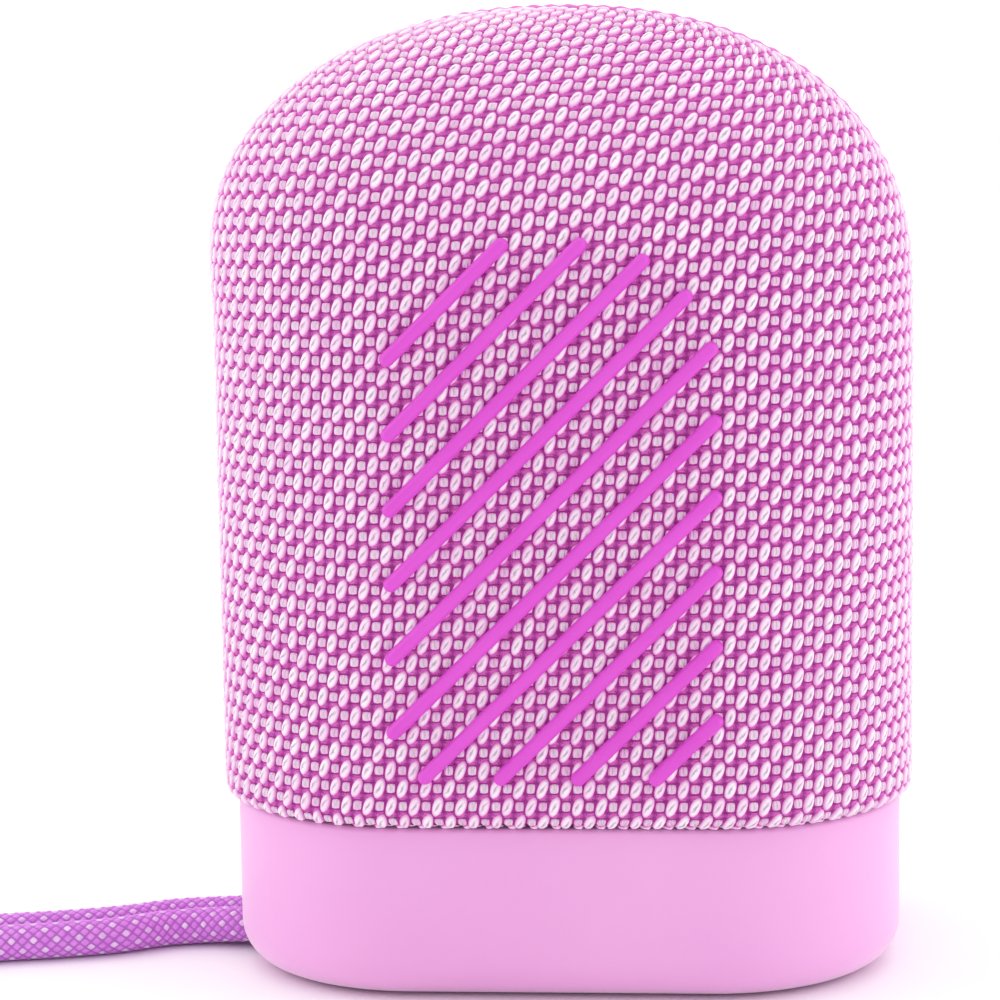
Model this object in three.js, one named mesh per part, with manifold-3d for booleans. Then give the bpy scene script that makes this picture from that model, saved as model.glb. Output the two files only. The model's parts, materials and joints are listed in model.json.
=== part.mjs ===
// Shower speaker: a fabric-wrapped dome body on a soft-touch base, with a cord loop.
// Millimetres, +Z up, the front faces -Y, the cord leaves on the -X side.
// z = 0 is the surface the speaker stands on.

import * as THREE from 'three';
import { mergeVertices } from 'three/addons/utils/BufferGeometryUtils.js';
import Module from 'manifold-3d';

const wasm = await Module();
wasm.setup();

// ---------------------------------------------------------------- driving dimensions

const GAP = 0.3;                    // clearance kept between neighbouring pieces

// fabric body, measured over the fabric
const BODY_HALF_W = 37;
const BODY_HALF_D = 30;
const BODY_CORNER = 20.5;
const BODY_TAPER = 0.003;           // each side narrows by this per mm downwards
const DOME_START = 75.2;            // height where the wall turns into the dome
const BODY_TOP = 102.4;
const DOME_POWER = 2.2;             // 2 is an ellipse, more is squarer
const FABRIC_THICK = 1.0;
const HEM_ROUND = 2.2;

// base
const BASE_HALF_W = 35.6;
const BASE_HALF_D = 28.6;
const BASE_CORNER = 20;
const BASE_BOTTOM = 0.6;
const BASE_TOP = 18.6;
const BASE_FILLET = 4.3;
const BASE_WALL = 2.2;
const DECK_UNDERSIDE = 16.6;

// ribs on the front
const RIB_COUNT = 10;
const RIB_WIDTH = 1.4;
const RIB_PROUD = 0.75;
const RIB_LIFT = 0.3;               // gap between the fabric and the underside of a rib
const RIB_SLOPE = 0.967;
const RIB_PITCH = 7.645;            // vertical distance between neighbouring ribs
const RIB_LOWEST_AT_CENTRE = 14.35; // height of the lowest rib's line where x = 0
const RIB_FIELD = { left: -16.1, right: 16.4, bottom: 24.6, top: 78.5 };
const RIB_FIELD_CORNERS = { topLeft: 3, topRight: 13.4, bottomLeft: 4, bottomRight: 3 };

// cord
const CORD_RADIUS = 2;
const CORD_PITCH = 4.4;             // between the two strands where they leave
const CORD_EXIT_Y = -5.6;           // middle of the two strands
const CORD_EXIT_Z = 2.6;
const CORD_END_X = -33.5;

// ---------------------------------------------------------------- materials

const materialKinds = {
  fabric: { color: 0xe9a4dc, roughness: 0.95, metalness: 0 },
  rib: { color: 0xe055d4, roughness: 0.55, metalness: 0 },
  softTouch: { color: 0xec9fdc, roughness: 0.6, metalness: 0 },
  rubber: { color: 0xd77ac6, roughness: 0.8, metalness: 0 },
  darkRubber: { color: 0x2b2b2f, roughness: 0.85, metalness: 0 },
  blackPlastic: { color: 0x1d1d20, roughness: 0.6, metalness: 0 },
  cone: { color: 0x26262a, roughness: 0.7, metalness: 0 },
  steel: { color: 0xb9bcc2, roughness: 0.35, metalness: 1 },
  ferrite: { color: 0x3a3a3d, roughness: 0.7, metalness: 0.1 },
  copper: { color: 0xb87333, roughness: 0.4, metalness: 1 },
  board: { color: 0x17603a, roughness: 0.6, metalness: 0 },
  chip: { color: 0x141416, roughness: 0.5, metalness: 0 },
  cell: { color: 0x9aa7b5, roughness: 0.4, metalness: 0.2 },
  cord: { color: 0xc864d7, roughness: 0.9, metalness: 0 },
  wire: { color: 0x8a1f1f, roughness: 0.6, metalness: 0 },
};

// ---------------------------------------------------------------- geometry helpers

// A rounded rectangle as a closed loop of [x, y] points, anticlockwise.
function roundedLoop(halfW, halfD, corner, perCorner = 6) {
  const points = [];
  const radius = Math.max(corner, 0.2);
  const centres = [[1, 1], [-1, 1], [-1, -1], [1, -1]];
  centres.forEach(([sideX, sideY], quarter) => {
    for (let step = 0; step <= perCorner; step += 1) {
      const angle = (quarter + step / perCorner) * Math.PI / 2;
      points.push([
        sideX * (halfW - radius) + radius * Math.cos(angle),
        sideY * (halfD - radius) + radius * Math.sin(angle),
      ]);
    }
  });
  return points;
}

// A level ring at height z, ready for skin().
function ring(halfW, halfD, corner, z, perCorner = 6) {
  return roundedLoop(halfW, halfD, corner, perCorner).map(([x, y]) => [x, y, z]);
}

// Joins rings of equal point count into one closed surface. A ring may be a single point,
// which ends the surface there. wrap = true joins the last ring to the first.
function skin(rings, wrap = false) {
  const positions = [];
  const starts = [];
  const index = [];
  rings.forEach((points) => {
    starts.push(positions.length / 3);
    points.forEach((point) => positions.push(...point));
  });
  const count = Math.max(...rings.map((points) => points.length));
  const at = (row, column) => starts[row] + (rings[row].length === 1 ? 0 : column % count);
  const last = wrap ? rings.length : rings.length - 1;
  for (let row = 0; row < last; row += 1) {
    const next = (row + 1) % rings.length;
    for (let column = 0; column < count; column += 1) {
      const [a, b] = [at(row, column), at(row, column + 1)];
      const [c, d] = [at(next, column), at(next, column + 1)];
      if (a !== b) index.push(a, b, d);
      if (c !== d) index.push(a, d, c);
    }
  }
  if (!wrap) {
    [[0, true], [rings.length - 1, false]].forEach(([row, flip]) => {
      if (rings[row].length === 1) return;
      const centre = positions.length / 3;
      const sum = rings[row].reduce((total, p) => total.map((v, axis) => v + p[axis]), [0, 0, 0]);
      positions.push(...sum.map((value) => value / count));
      for (let column = 0; column < count; column += 1) {
        const [a, b] = [at(row, column), at(row, column + 1)];
        index.push(...(flip ? [centre, b, a] : [centre, a, b]));
      }
    });
  }
  const geometry = new THREE.BufferGeometry();
  geometry.setAttribute('position', new THREE.Float32BufferAttribute(positions, 3));
  geometry.setIndex(index);
  return outward(geometry);
}

// Turns the faces over if the surface encloses a negative volume.
function outward(geometry) {
  const p = geometry.attributes.position;
  const index = geometry.index.array;
  const [a, b, c] = [new THREE.Vector3(), new THREE.Vector3(), new THREE.Vector3()];
  let volume = 0;
  for (let i = 0; i < index.length; i += 3) {
    a.fromBufferAttribute(p, index[i]);
    b.fromBufferAttribute(p, index[i + 1]);
    c.fromBufferAttribute(p, index[i + 2]);
    volume += a.dot(b.cross(c));
  }
  if (volume < 0) {
    const turned = Array.from(index);
    for (let i = 0; i < turned.length; i += 3) {
      [turned[i + 1], turned[i + 2]] = [turned[i + 2], turned[i + 1]];
    }
    geometry.setIndex(turned);
  }
  return geometry;
}

// An upright prism from a loop of [x, y] points.
function prism(loop, bottom, top) {
  const lower = loop.map(([x, y]) => [x, y, bottom]);
  const upper = loop.map(([x, y]) => [x, y, top]);
  return skin([lower, upper]);
}

function box(x0, x1, y0, y1, z0, z1) {
  const geometry = new THREE.BoxGeometry(x1 - x0, y1 - y0, z1 - z0);
  geometry.translate((x0 + x1) / 2, (y0 + y1) / 2, (z0 + z1) / 2);
  return geometry;
}

function cylinder(x, y, radius, bottom, top, sides = 12) {
  const geometry = new THREE.CylinderGeometry(radius, radius, top - bottom, sides);
  geometry.rotateX(Math.PI / 2);
  geometry.translate(x, y, (bottom + top) / 2);
  return geometry;
}

// A solid of revolution about a vertical axis, from a closed profile of [radius, z] points.
function turned(profile, sides = 24, x = 0, y = 0) {
  const closed = [...profile, profile[0]];
  const geometry = new THREE.LatheGeometry(closed.map(([r, z]) => new THREE.Vector2(r, z)), sides);
  geometry.rotateX(Math.PI / 2);
  geometry.translate(x, y, 0);
  return outward(welded(geometry));
}

function tube(points, radius, steps, sides = 8) {
  const outline = new THREE.Shape();
  for (let side = 0; side < sides; side += 1) {
    const angle = side * 2 * Math.PI / sides;
    const [u, v] = [radius * Math.cos(angle), radius * Math.sin(angle)];
    if (side === 0) outline.moveTo(u, v);
    else outline.lineTo(u, v);
  }
  const path = new THREE.CatmullRomCurve3(points.map((p) => new THREE.Vector3(...p)));
  return new THREE.ExtrudeGeometry(outline, { steps, extrudePath: path, bevelEnabled: false });
}

function welded(geometry) {
  const bare = geometry.clone();
  ['normal', 'uv'].forEach((name) => bare.deleteAttribute(name));
  const merged = mergeVertices(bare, 1e-4);
  const kept = [];
  const index = merged.index.array;
  for (let i = 0; i < index.length; i += 3) {
    const [a, b, c] = [index[i], index[i + 1], index[i + 2]];
    if (a !== b && b !== c && a !== c) kept.push(a, b, c);
  }
  merged.setIndex(kept);
  return merged;
}

function toManifold(geometry) {
  const merged = welded(geometry);
  const mesh = new wasm.Mesh({
    numProp: 3,
    vertProperties: Float32Array.from(merged.attributes.position.array),
    triVerts: Uint32Array.from(merged.index.array),
  });
  return new wasm.Manifold(mesh);
}

function fromManifold(manifold) {
  const mesh = manifold.getMesh();
  const geometry = new THREE.BufferGeometry();
  const positions = new THREE.Float32BufferAttribute(mesh.vertProperties, 3);
  geometry.setAttribute('position', positions);
  geometry.setIndex(Array.from(mesh.triVerts));
  return geometry;
}

// The first geometry with others added and then others cut away.
function combine(first, { add = [], cut = [], keep = null }) {
  let solid = toManifold(first);
  add.forEach((other) => { solid = solid.add(toManifold(other)); });
  cut.forEach((other) => { solid = solid.subtract(toManifold(other)); });
  if (keep) solid = solid.intersect(toManifold(keep));
  return fromManifold(solid);
}

const group = new THREE.Group();
group.name = 'shower_speaker';

function place(name, geometry, kind) {
  const flat = geometry.index ? geometry.toNonIndexed() : geometry;
  flat.computeVertexNormals();
  const mesh = new THREE.Mesh(flat, new THREE.MeshStandardMaterial(materialKinds[kind]));
  mesh.name = name;
  group.add(mesh);
}

// Screws: an upright shaft with a round head, head down.
function screw(x, y, headRadius, headBottom, headTop, shaftRadius, shaftTop) {
  return turned([
    [0, headBottom], [headRadius, headBottom], [headRadius, headTop],
    [shaftRadius, headTop], [shaftRadius, shaftTop], [0, shaftTop],
  ], 12, x, y);
}

// ---------------------------------------------------------------- the body's outer form

// A ring of the body's surface, set in by inset. Up to DOME_START height is z itself.
function wallRing(z, inset, perCorner = 6) {
  const narrowing = BODY_TAPER * (DOME_START - z);
  return ring(
    BODY_HALF_W - narrowing - inset,
    BODY_HALF_D - narrowing - inset,
    BODY_CORNER - inset,
    z,
    perCorner,
  );
}

// A ring of the dome, at an angle from 0 (its foot) to 90 degrees (its top).
function domeRing(degrees, inset, perCorner = 6) {
  const angle = degrees * Math.PI / 180;
  if (degrees >= 90) return [[0, 0, BODY_TOP - inset]];
  const scale = Math.cos(angle) ** (2 / DOME_POWER);
  const rise = Math.sin(angle) ** (2 / DOME_POWER);
  return ring(
    (BODY_HALF_W - inset) * scale,
    (BODY_HALF_D - inset) * scale,
    (BODY_CORNER - inset) * scale,
    DOME_START + (BODY_TOP - DOME_START - inset) * rise,
    perCorner,
  );
}

const DOME_STEPS = [8, 17, 27, 38, 49, 60, 70, 79, 85, 90];

// Rings from the wall's lower end up over the top.
function bodyRings(bottom, inset, perCorner) {
  const rings = [bottom, 36, 55, DOME_START].map((z) => wallRing(z, inset, perCorner));
  DOME_STEPS.forEach((degrees) => rings.push(domeRing(degrees, inset, perCorner)));
  return rings;
}

// The y of the body's front surface at x and z.
function frontSurface(x, z) {
  let [halfW, halfD, corner] = [BODY_HALF_W, BODY_HALF_D, BODY_CORNER];
  if (z <= DOME_START) {
    halfW -= BODY_TAPER * (DOME_START - z);
    halfD -= BODY_TAPER * (DOME_START - z);
  } else {
    const height = (z - DOME_START) / (BODY_TOP - DOME_START);
    const scale = (1 - height ** DOME_POWER) ** (1 / DOME_POWER);
    [halfW, halfD, corner] = [halfW * scale, halfD * scale, corner * scale];
  }
  const past = Math.abs(x) - (halfW - corner);
  if (past <= 0) return -halfD;
  return -(halfD - corner + Math.sqrt(corner ** 2 - past ** 2));
}

// ---------------------------------------------------------------- fabric sleeve and frame

const HEM_BOTTOM = BASE_TOP + GAP;
const HEM_TOP = HEM_BOTTOM + 1.0;
const HEM_INNER_INSET = 6.0;
const FRAME_INSET = FABRIC_THICK + GAP;
const FRAME_WALL = 1.8;
const FRAME_BOTTOM = HEM_TOP + GAP;
const FLANGE_TOP = FRAME_BOTTOM + 2.0;
const FLANGE_INNER_INSET = 12.5;

function fabricSleeve() {
  const inner = bodyRings(HEM_TOP, FABRIC_THICK).reverse();
  const hem = [
    wallRing(HEM_TOP, HEM_INNER_INSET),
    wallRing(HEM_BOTTOM, HEM_INNER_INSET),
  ];
  for (let degrees = 0; degrees <= 90; degrees += 22.5) {
    const angle = degrees * Math.PI / 180;
    const inset = HEM_ROUND * (1 - Math.sin(angle));
    const z = HEM_BOTTOM + HEM_ROUND * (1 - Math.cos(angle));
    hem.push(wallRing(z, inset));
  }
  const outer = bodyRings(36, 0).slice(1);
  return skin([...inner, ...hem, ...outer]);
}
place('fabric_sleeve', fabricSleeve(), 'fabric');

const FRAME_SCREW_SPOTS = [[16, 18.6], [-16, 18.6], [-16, -18.6], [16, -18.6]];

function domeFrame() {
  const insideInset = FRAME_INSET + FRAME_WALL;
  const inner = bodyRings(FLANGE_TOP, insideInset, 5).reverse();
  const flange = [
    wallRing(FLANGE_TOP, FLANGE_INNER_INSET, 5),
    wallRing(FRAME_BOTTOM, FLANGE_INNER_INSET, 5),
  ];
  const outer = bodyRings(FRAME_BOTTOM, FRAME_INSET, 5);
  const shell = skin([...inner, ...flange, ...outer]);
  const cuts = [];
  for (let slot = 0; slot < 8; slot += 1) {
    const opening = box(7, 22, -1.5, 1.5, 86, 110);
    opening.rotateZ((slot + 0.5) * Math.PI / 4);
    cuts.push(opening);
  }
  [-12, -6, 0, 6, 12].forEach((x) => cuts.push(box(x - 1.5, x + 1.5, 20, 40, 36, 58)));
  FRAME_SCREW_SPOTS.forEach(([x, y]) => cuts.push(cylinder(x, y, 1.3, FRAME_BOTTOM - 1, 24)));
  return combine(shell, { cut: cuts });
}
place('dome_frame', domeFrame(), 'blackPlastic');

place('base_seal', skin([
  wallRing(HEM_BOTTOM, 6.3),
  wallRing(HEM_TOP, 6.3),
  wallRing(HEM_TOP, 7.6),
  wallRing(HEM_BOTTOM, 7.6),
], true), 'darkRubber');

FRAME_SCREW_SPOTS.forEach(([x, y], i) => {
  const headBottom = DECK_UNDERSIDE - GAP - 1.6;
  place(`frame_screw_${i + 1}`, screw(x, y, 2, headBottom, headBottom + 1.6, 1, 21.8), 'steel');
});

// ---------------------------------------------------------------- ribs

// Where a rib's line enters and leaves the field, which is a rectangle with round corners.
function ribSpan(lineAtCentre) {
  const f = RIB_FIELD;
  const inside = (x) => {
    const z = lineAtCentre + RIB_SLOPE * x;
    if (x < f.left || x > f.right || z < f.bottom || z > f.top) return false;
    const corners = [
      [RIB_FIELD_CORNERS.topLeft, f.left, f.top, 1, -1],
      [RIB_FIELD_CORNERS.topRight, f.right, f.top, -1, -1],
      [RIB_FIELD_CORNERS.bottomLeft, f.left, f.bottom, 1, 1],
      [RIB_FIELD_CORNERS.bottomRight, f.right, f.bottom, -1, 1],
    ];
    return corners.every(([radius, cornerX, cornerZ, signX, signZ]) => {
      const fromX = radius - signX * (x - cornerX);
      const fromZ = radius - signZ * (z - cornerZ);
      return fromX <= 0 || fromZ <= 0 || Math.hypot(fromX, fromZ) <= radius;
    });
  };
  const step = 0.05;
  let [first, last] = [null, null];
  for (let x = f.left; x <= f.right; x += step) {
    if (inside(x)) {
      if (first === null) first = x;
      last = x;
    }
  }
  return [first, last];
}

// A low bar with round ends that follows the body's front, RIB_LIFT above the fabric.
function rib(lineAtCentre) {
  const [x0, x1] = ribSpan(lineAtCentre);
  const along = new THREE.Vector2(1, RIB_SLOPE).normalize();
  const across = new THREE.Vector2(-along.y, along.x);
  const length = (x1 - x0) / along.x;
  const half = RIB_WIDTH / 2;
  const stations = [];
  [1, 0.8, 0.45, 0].forEach((back) => stations.push([-half * back, Math.sqrt(1 - back ** 2)]));
  const middle = Math.max(2, Math.round(length / 3.5));
  for (let i = 1; i < middle; i += 1) stations.push([length * i / middle, 1]);
  [0, 0.45, 0.8, 1].forEach((on) => stations.push([length + half * on, Math.sqrt(1 - on ** 2)]));
  const section = [[-1, 0], [-1, 0.55], [-0.72, 0.92], [0, 1], [0.72, 0.92], [1, 0.55], [1, 0]];
  const rings = stations.map(([distance, width]) => section.map(([side, height]) => {
    const offset = side * half * Math.max(width, 0.12);
    const x = x0 + along.x * distance + across.x * offset;
    const z = lineAtCentre + RIB_SLOPE * x0 + along.y * distance + across.y * offset;
    const e = 0.05;
    const normal = new THREE.Vector3(
      (frontSurface(x + e, z) - frontSurface(x - e, z)) / (2 * e),
      -1,
      (frontSurface(x, z + e) - frontSurface(x, z - e)) / (2 * e),
    ).normalize();
    const endDrop = width < 0.7 ? 0.75 : 1;
    const out = RIB_LIFT + RIB_PROUD * height * endDrop;
    return [x + normal.x * out, frontSurface(x, z) + normal.y * out, z + normal.z * out];
  }));
  return skin(rings);
}

for (let i = 0; i < RIB_COUNT; i += 1) {
  const number = String(i + 1).padStart(2, '0');
  place(`rib_${number}`, rib(RIB_LOWEST_AT_CENTRE + RIB_PITCH * (RIB_COUNT - 1 - i)), 'rib');
}

// ---------------------------------------------------------------- base

const BUTTON_SPOTS = [-9.6, -3.2, 3.2, 9.6];
const BUTTON_Z = 14;
const BOTTOM_POSTS = [[24, 11.5], [-24, 11.5], [-24, -11.5], [24, -11.5]];
const BOARD_SCREW_SPOTS = [[8, -19], [-8, -19]];
const REAR_FACE = BASE_HALF_D;
const REAR_INSIDE = REAR_FACE - BASE_WALL;
const FLAP_HINGE = { y: REAR_FACE - 0.3, z: 5.9 };

function baseRing(inset, z) {
  return ring(BASE_HALF_W - inset, BASE_HALF_D - inset, BASE_CORNER - inset, z, 8);
}

// The base's outer form from its bottom edge up to the given height.
function baseOuterRings(inset, top) {
  const rings = [];
  for (let degrees = 0; degrees <= 90; degrees += 15) {
    const angle = degrees * Math.PI / 180;
    rings.push(baseRing(
      BASE_FILLET * (1 - Math.sin(angle)) + inset,
      BASE_BOTTOM + BASE_FILLET * (1 - Math.cos(angle)),
    ));
  }
  rings.push(baseRing(inset, top - 0.5));
  rings.push(baseRing(inset + 0.4, top));
  return rings;
}

const CHANNEL = {
  y0: CORD_EXIT_Y - 5.5,
  y1: CORD_EXIT_Y + 5.5,
  z0: BASE_BOTTOM + GAP,
  z1: 5.9,
  x0: -36.2,
  x1: -29.7,
};

function baseShell() {
  const shell = skin([
    ...baseOuterRings(0, BASE_TOP),
    ring(20, 13, 5, BASE_TOP, 8),
    ring(20, 13, 5, DECK_UNDERSIDE, 8),
    baseRing(BASE_WALL, DECK_UNDERSIDE),
    baseRing(BASE_WALL, 4.6),
    baseRing(BASE_WALL + 2.1, 2.6),
    baseRing(BASE_FILLET + 2, 2.6),
    baseRing(BASE_FILLET + 2, BASE_BOTTOM),
  ], true);
  const posts = BOTTOM_POSTS.map(([x, y]) => cylinder(x, y, 2.5, 3.2, DECK_UNDERSIDE + 0.5));
  const bosses = BOARD_SCREW_SPOTS.map(([x, y]) => cylinder(x, y, 2.2, 12.8, DECK_UNDERSIDE + 0.5));
  const cuts = [];
  BOTTOM_POSTS.forEach(([x, y]) => cuts.push(cylinder(x, y, 1.3, 3, 11.2)));
  BOARD_SCREW_SPOTS.forEach(([x, y]) => cuts.push(cylinder(x, y, 1.1, 12, 15.6)));
  FRAME_SCREW_SPOTS.forEach(([x, y]) => cuts.push(cylinder(x, y, 1.3, 15, 20)));
  BUTTON_SPOTS.forEach((x) => {
    cuts.push(box(x - 2.6, x + 2.6, 25, 30, BUTTON_Z - 1.7, BUTTON_Z + 1.7));
  });
  cuts.push(box(-7.5, 7.5, REAR_FACE - 1.2, 30, 5.3, 11.5));
  cuts.push(box(-5, 5, 25, 30, 7.3, 11.2));
  cuts.push(box(
    CHANNEL.x0, CHANNEL.x1 + GAP, CHANNEL.y0 - GAP, CHANNEL.y1 + GAP, 0, CHANNEL.z1 + GAP,
  ));
  return combine(shell, { add: [...posts, ...bosses], cut: cuts });
}
place('base_shell', baseShell(), 'softTouch');

const PLATE = { bottom: 0.9, top: 2.9, inset: BASE_FILLET + 2 + GAP };
const FOOT = { outerInset: 15.5, innerInset: 19, top: 1.6 };

function bottomPlate() {
  const plate = skin([baseRing(PLATE.inset, PLATE.bottom), baseRing(PLATE.inset, PLATE.top)]);
  const groove = skin([
    baseRing(FOOT.outerInset - GAP, 0),
    baseRing(FOOT.outerInset - GAP, FOOT.top + GAP),
    baseRing(FOOT.innerInset + GAP, FOOT.top + GAP),
    baseRing(FOOT.innerInset + GAP, 0),
  ], true);
  const cuts = [groove];
  BOTTOM_POSTS.forEach(([x, y]) => {
    cuts.push(cylinder(x, y, 2.5, 0, 2.1));
    cuts.push(cylinder(x, y, 1.3, 0, 4));
  });
  return combine(plate, { cut: cuts });
}
place('bottom_plate', bottomPlate(), 'softTouch');

place('foot_ring', skin([
  baseRing(FOOT.outerInset, 0),
  baseRing(FOOT.outerInset, FOOT.top),
  baseRing(FOOT.innerInset, FOOT.top),
  baseRing(FOOT.innerInset, 0),
], true), 'darkRubber');

BOTTOM_POSTS.forEach(([x, y], i) => {
  place(`bottom_screw_${i + 1}`, screw(x, y, 2.2, 0.95, 1.8, 1, 10.5), 'steel');
});

// ---------------------------------------------------------------- cord, its liner and its crimp

function lanyardEyelet() {
  const c = CHANNEL;
  const outer = box(c.x0, c.x1, c.y0, c.y1, c.z0, c.z1);
  const passage = box(c.x0 - 1, c.x1 - 1, c.y0 + 1, c.y1 - 1, c.z0 - 1, c.z1 - 1);
  const limit = skin(baseOuterRings(0.1, BASE_TOP));
  return combine(outer, { cut: [passage], keep: limit });
}
place('lanyard_eyelet', lanyardEyelet(), 'rubber');

place('lanyard_anchor', box(
  CORD_END_X + GAP, CHANNEL.x1 - 1 - GAP,
  CORD_EXIT_Y - 4.2, CORD_EXIT_Y + 4.2, 1.0, 4.6,
), 'steel');

// One length of cord: out along the front strand, round the loop and back along the rear one.
// Heights fall from the exit to the table, where the cord's middle is one radius up.
function cordRoute() {
  const front = CORD_EXIT_Y - CORD_PITCH / 2;
  const rear = CORD_EXIT_Y + CORD_PITCH / 2;
  const rest = CORD_RADIUS + 0.02;
  return [
    [CORD_END_X, front, CORD_EXIT_Z],
    [-37, front + 0.6, 2.4],
    [-41, front + 0.9, 2.12],
    [-45, front, rest],
    [-50, front - 2.9, rest],
    [-56, front - 4.9, rest],
    [-63, front - 6.6, rest],
    [-74, front - 10.5, rest],
    [-87, front - 16, rest],
    [-102, front - 21.5, rest],
    [-117, front - 24, rest],
    [-131, front - 22.5, rest],
    [-140, front - 16.5, rest],
    [-142, front - 9, rest],
    [-137, front - 3, rest],
    [-127, front - 0.8, rest],
    [-114, front - 2.3, rest],
    [-101, front - 6, rest],
    [-88, front - 8.6, rest],
    [-75, front - 5.9, rest],
    [-64, front - 2, rest],
    [-56, front, rest],
    [-50, front + 2.1, rest],
    [-45, front + 4.8, rest],
    [-41, front + 5.3, 2.15],
    [-37, rear + 0.6, 2.4],
    [CORD_END_X, rear, CORD_EXIT_Z],
  ];
}
place('lanyard_cord', tube(cordRoute(), CORD_RADIUS, 78), 'cord');

// ---------------------------------------------------------------- battery, board and wiring

place('battery_cell', prism(
  roundedLoop(20, 14, 1.5, 2).map(([x, y]) => [x, y - 8]), 3.2, 9.2,
), 'cell');

const BOARD = { bottom: 11.2, top: 12.4 };

function mainBoard() {
  const plate = prism(roundedLoop(29, 22, 14, 5), BOARD.bottom, BOARD.top);
  const cuts = BOTTOM_POSTS.map(([x, y]) => cylinder(x, y, 2.8, 10, 14));
  BOARD_SCREW_SPOTS.forEach(([x, y]) => cuts.push(cylinder(x, y, 1.2, 10, 14)));
  return combine(plate, { cut: cuts });
}
place('main_board', mainBoard(), 'board');

BOARD_SCREW_SPOTS.forEach(([x, y], i) => {
  place(`board_screw_${i + 1}`, screw(x, y, 1.9, 9.8, 10.9, 0.8, 15.2), 'steel');
});

const ON_BOARD = BOARD.top + GAP;
place('bluetooth_module', box(-8, 6, -4, 8, ON_BOARD, ON_BOARD + 2), 'steel');
place('amplifier_chip', box(2, 9, -13, -7, ON_BOARD, ON_BOARD + 1), 'chip');

function usbPort() {
  const shell = box(-4.5, 4.5, 17.5, REAR_INSIDE - 1.4, 7.7, 10.9);
  return combine(shell, { cut: [box(-3.9, 3.9, 19, 26, 8.3, 10.3)] });
}
place('usb_port', usbPort(), 'steel');

BUTTON_SPOTS.forEach((x, i) => {
  const body = box(x - 1.8, x + 1.8, 18.6, 22.2, ON_BOARD, ON_BOARD + 3);
  const plunger = box(x - 0.8, x + 0.8, 22, REAR_INSIDE - 2.4, BUTTON_Z - 0.8, BUTTON_Z + 0.8);
  place(`tact_switch_${i + 1}`, combine(body, { add: [plunger] }), 'chip');
});

const BUTTON_NAMES = ['power_button', 'volume_down_button', 'play_button', 'volume_up_button'];
BUTTON_SPOTS.forEach((x, i) => {
  const z = BUTTON_Z;
  const cap = box(x - 2.3, x + 2.3, REAR_INSIDE - 1, REAR_FACE + 0.5, z - 1.4, z + 1.4);
  const rim = box(x - 2.9, x + 2.9, REAR_INSIDE - 1.6, REAR_INSIDE - 0.4, z - 1.9, z + 1.9);
  place(BUTTON_NAMES[i], combine(cap, { add: [rim] }), 'rubber');
});

function portFlap() {
  const cover = box(-7.2, 7.2, REAR_FACE - 0.9, REAR_FACE, FLAP_HINGE.z - 0.2, 11.1);
  const plug = box(-4.3, 4.3, REAR_FACE - 2.4, REAR_FACE - 0.8, 7.9, 10.2);
  return combine(cover, { add: [plug] });
}
place('port_flap', portFlap(), 'rubber');

place('battery_lead', tube([
  [-17, 6.4, 6.2], [-17, 8, 6.8], [-17, 8.9, 8.4], [-17, 9, 10.8],
], 0.6, 8), 'wire');

// ---------------------------------------------------------------- sound box

const TUB = { bottom: FLANGE_TOP + GAP, top: 64, halfW: 28, halfD: 21.5, corner: 8, wall: 1.8, floor: 2 };
const LEAD_HOLE = { x: 18, y: -8 };
const RADIATOR = { z: 46, outerW: 20, outerH: 14, innerW: 17.4, innerH: 11.4 };

// A prism lying along y, from an outline in x and z.
function wallPlate(halfW, halfH, corner, y0, y1) {
  const loop = roundedLoop(halfW, halfH, corner, 4);
  return skin([y0, y1].map((y) => loop.map(([x, z]) => [x, y, RADIATOR.z + z])));
}

function enclosureTub() {
  const t = TUB;
  const outer = prism(roundedLoop(t.halfW, t.halfD, t.corner, 4), t.bottom, t.top);
  const hollow = prism(
    roundedLoop(t.halfW - t.wall, t.halfD - t.wall, t.corner - t.wall, 4),
    t.bottom + t.floor, t.top + 5,
  );
  const radiatorHole = wallPlate(RADIATOR.innerW, RADIATOR.innerH, 6, 15, 30);
  const leadHole = cylinder(LEAD_HOLE.x, LEAD_HOLE.y, 1.2, 20, 26);
  return combine(outer, { cut: [hollow, radiatorHole, leadHole] });
}
place('enclosure_tub', enclosureTub(), 'blackPlastic');

const DRIVER_SCREW_SPOTS = [45, 135, 225, 315].map((degrees) => {
  const angle = degrees * Math.PI / 180;
  return [18.4 * Math.cos(angle), 18.4 * Math.sin(angle)];
});
const BAFFLE = { bottom: TUB.top + GAP, top: TUB.top + GAP + 2.5 };

function bafflePlate() {
  const plate = prism(roundedLoop(TUB.halfW, TUB.halfD, TUB.corner, 4), BAFFLE.bottom, BAFFLE.top);
  const cuts = [cylinder(0, 0, 16, 60, 70, 24)];
  DRIVER_SCREW_SPOTS.forEach(([x, y]) => cuts.push(cylinder(x, y, 1.1, 60, 70, 8)));
  return combine(plate, { cut: cuts });
}
place('baffle_plate', bafflePlate(), 'blackPlastic');

const BASKET_BOTTOM = BAFFLE.top + GAP;
const BASKET_TOP = BASKET_BOTTOM + 1.5;

function driverBasket() {
  const basket = turned([
    [20.5, BASKET_BOTTOM], [20.5, BASKET_TOP], [14.6, BASKET_TOP], [14.6, 64.6],
    [9.8, 57.8], [7.8, 57.8], [7.8, 56.6], [10.4, 56.6], [15.6, 64], [15.6, BASKET_BOTTOM],
  ], 24);
  const cuts = DRIVER_SCREW_SPOTS.map(([x, y]) => cylinder(x, y, 1.1, 66, 70, 8));
  return combine(basket, { cut: cuts });
}
place('driver_basket', driverBasket(), 'blackPlastic');

DRIVER_SCREW_SPOTS.forEach(([x, y], i) => {
  const top = BASKET_TOP + GAP;
  place(`driver_screw_${i + 1}`, turned([
    [0, 64.8], [0.8, 64.8], [0.8, top], [1.6, top], [1.6, top + 1], [0, top + 1],
  ], 12, x, y), 'steel');
});

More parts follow.
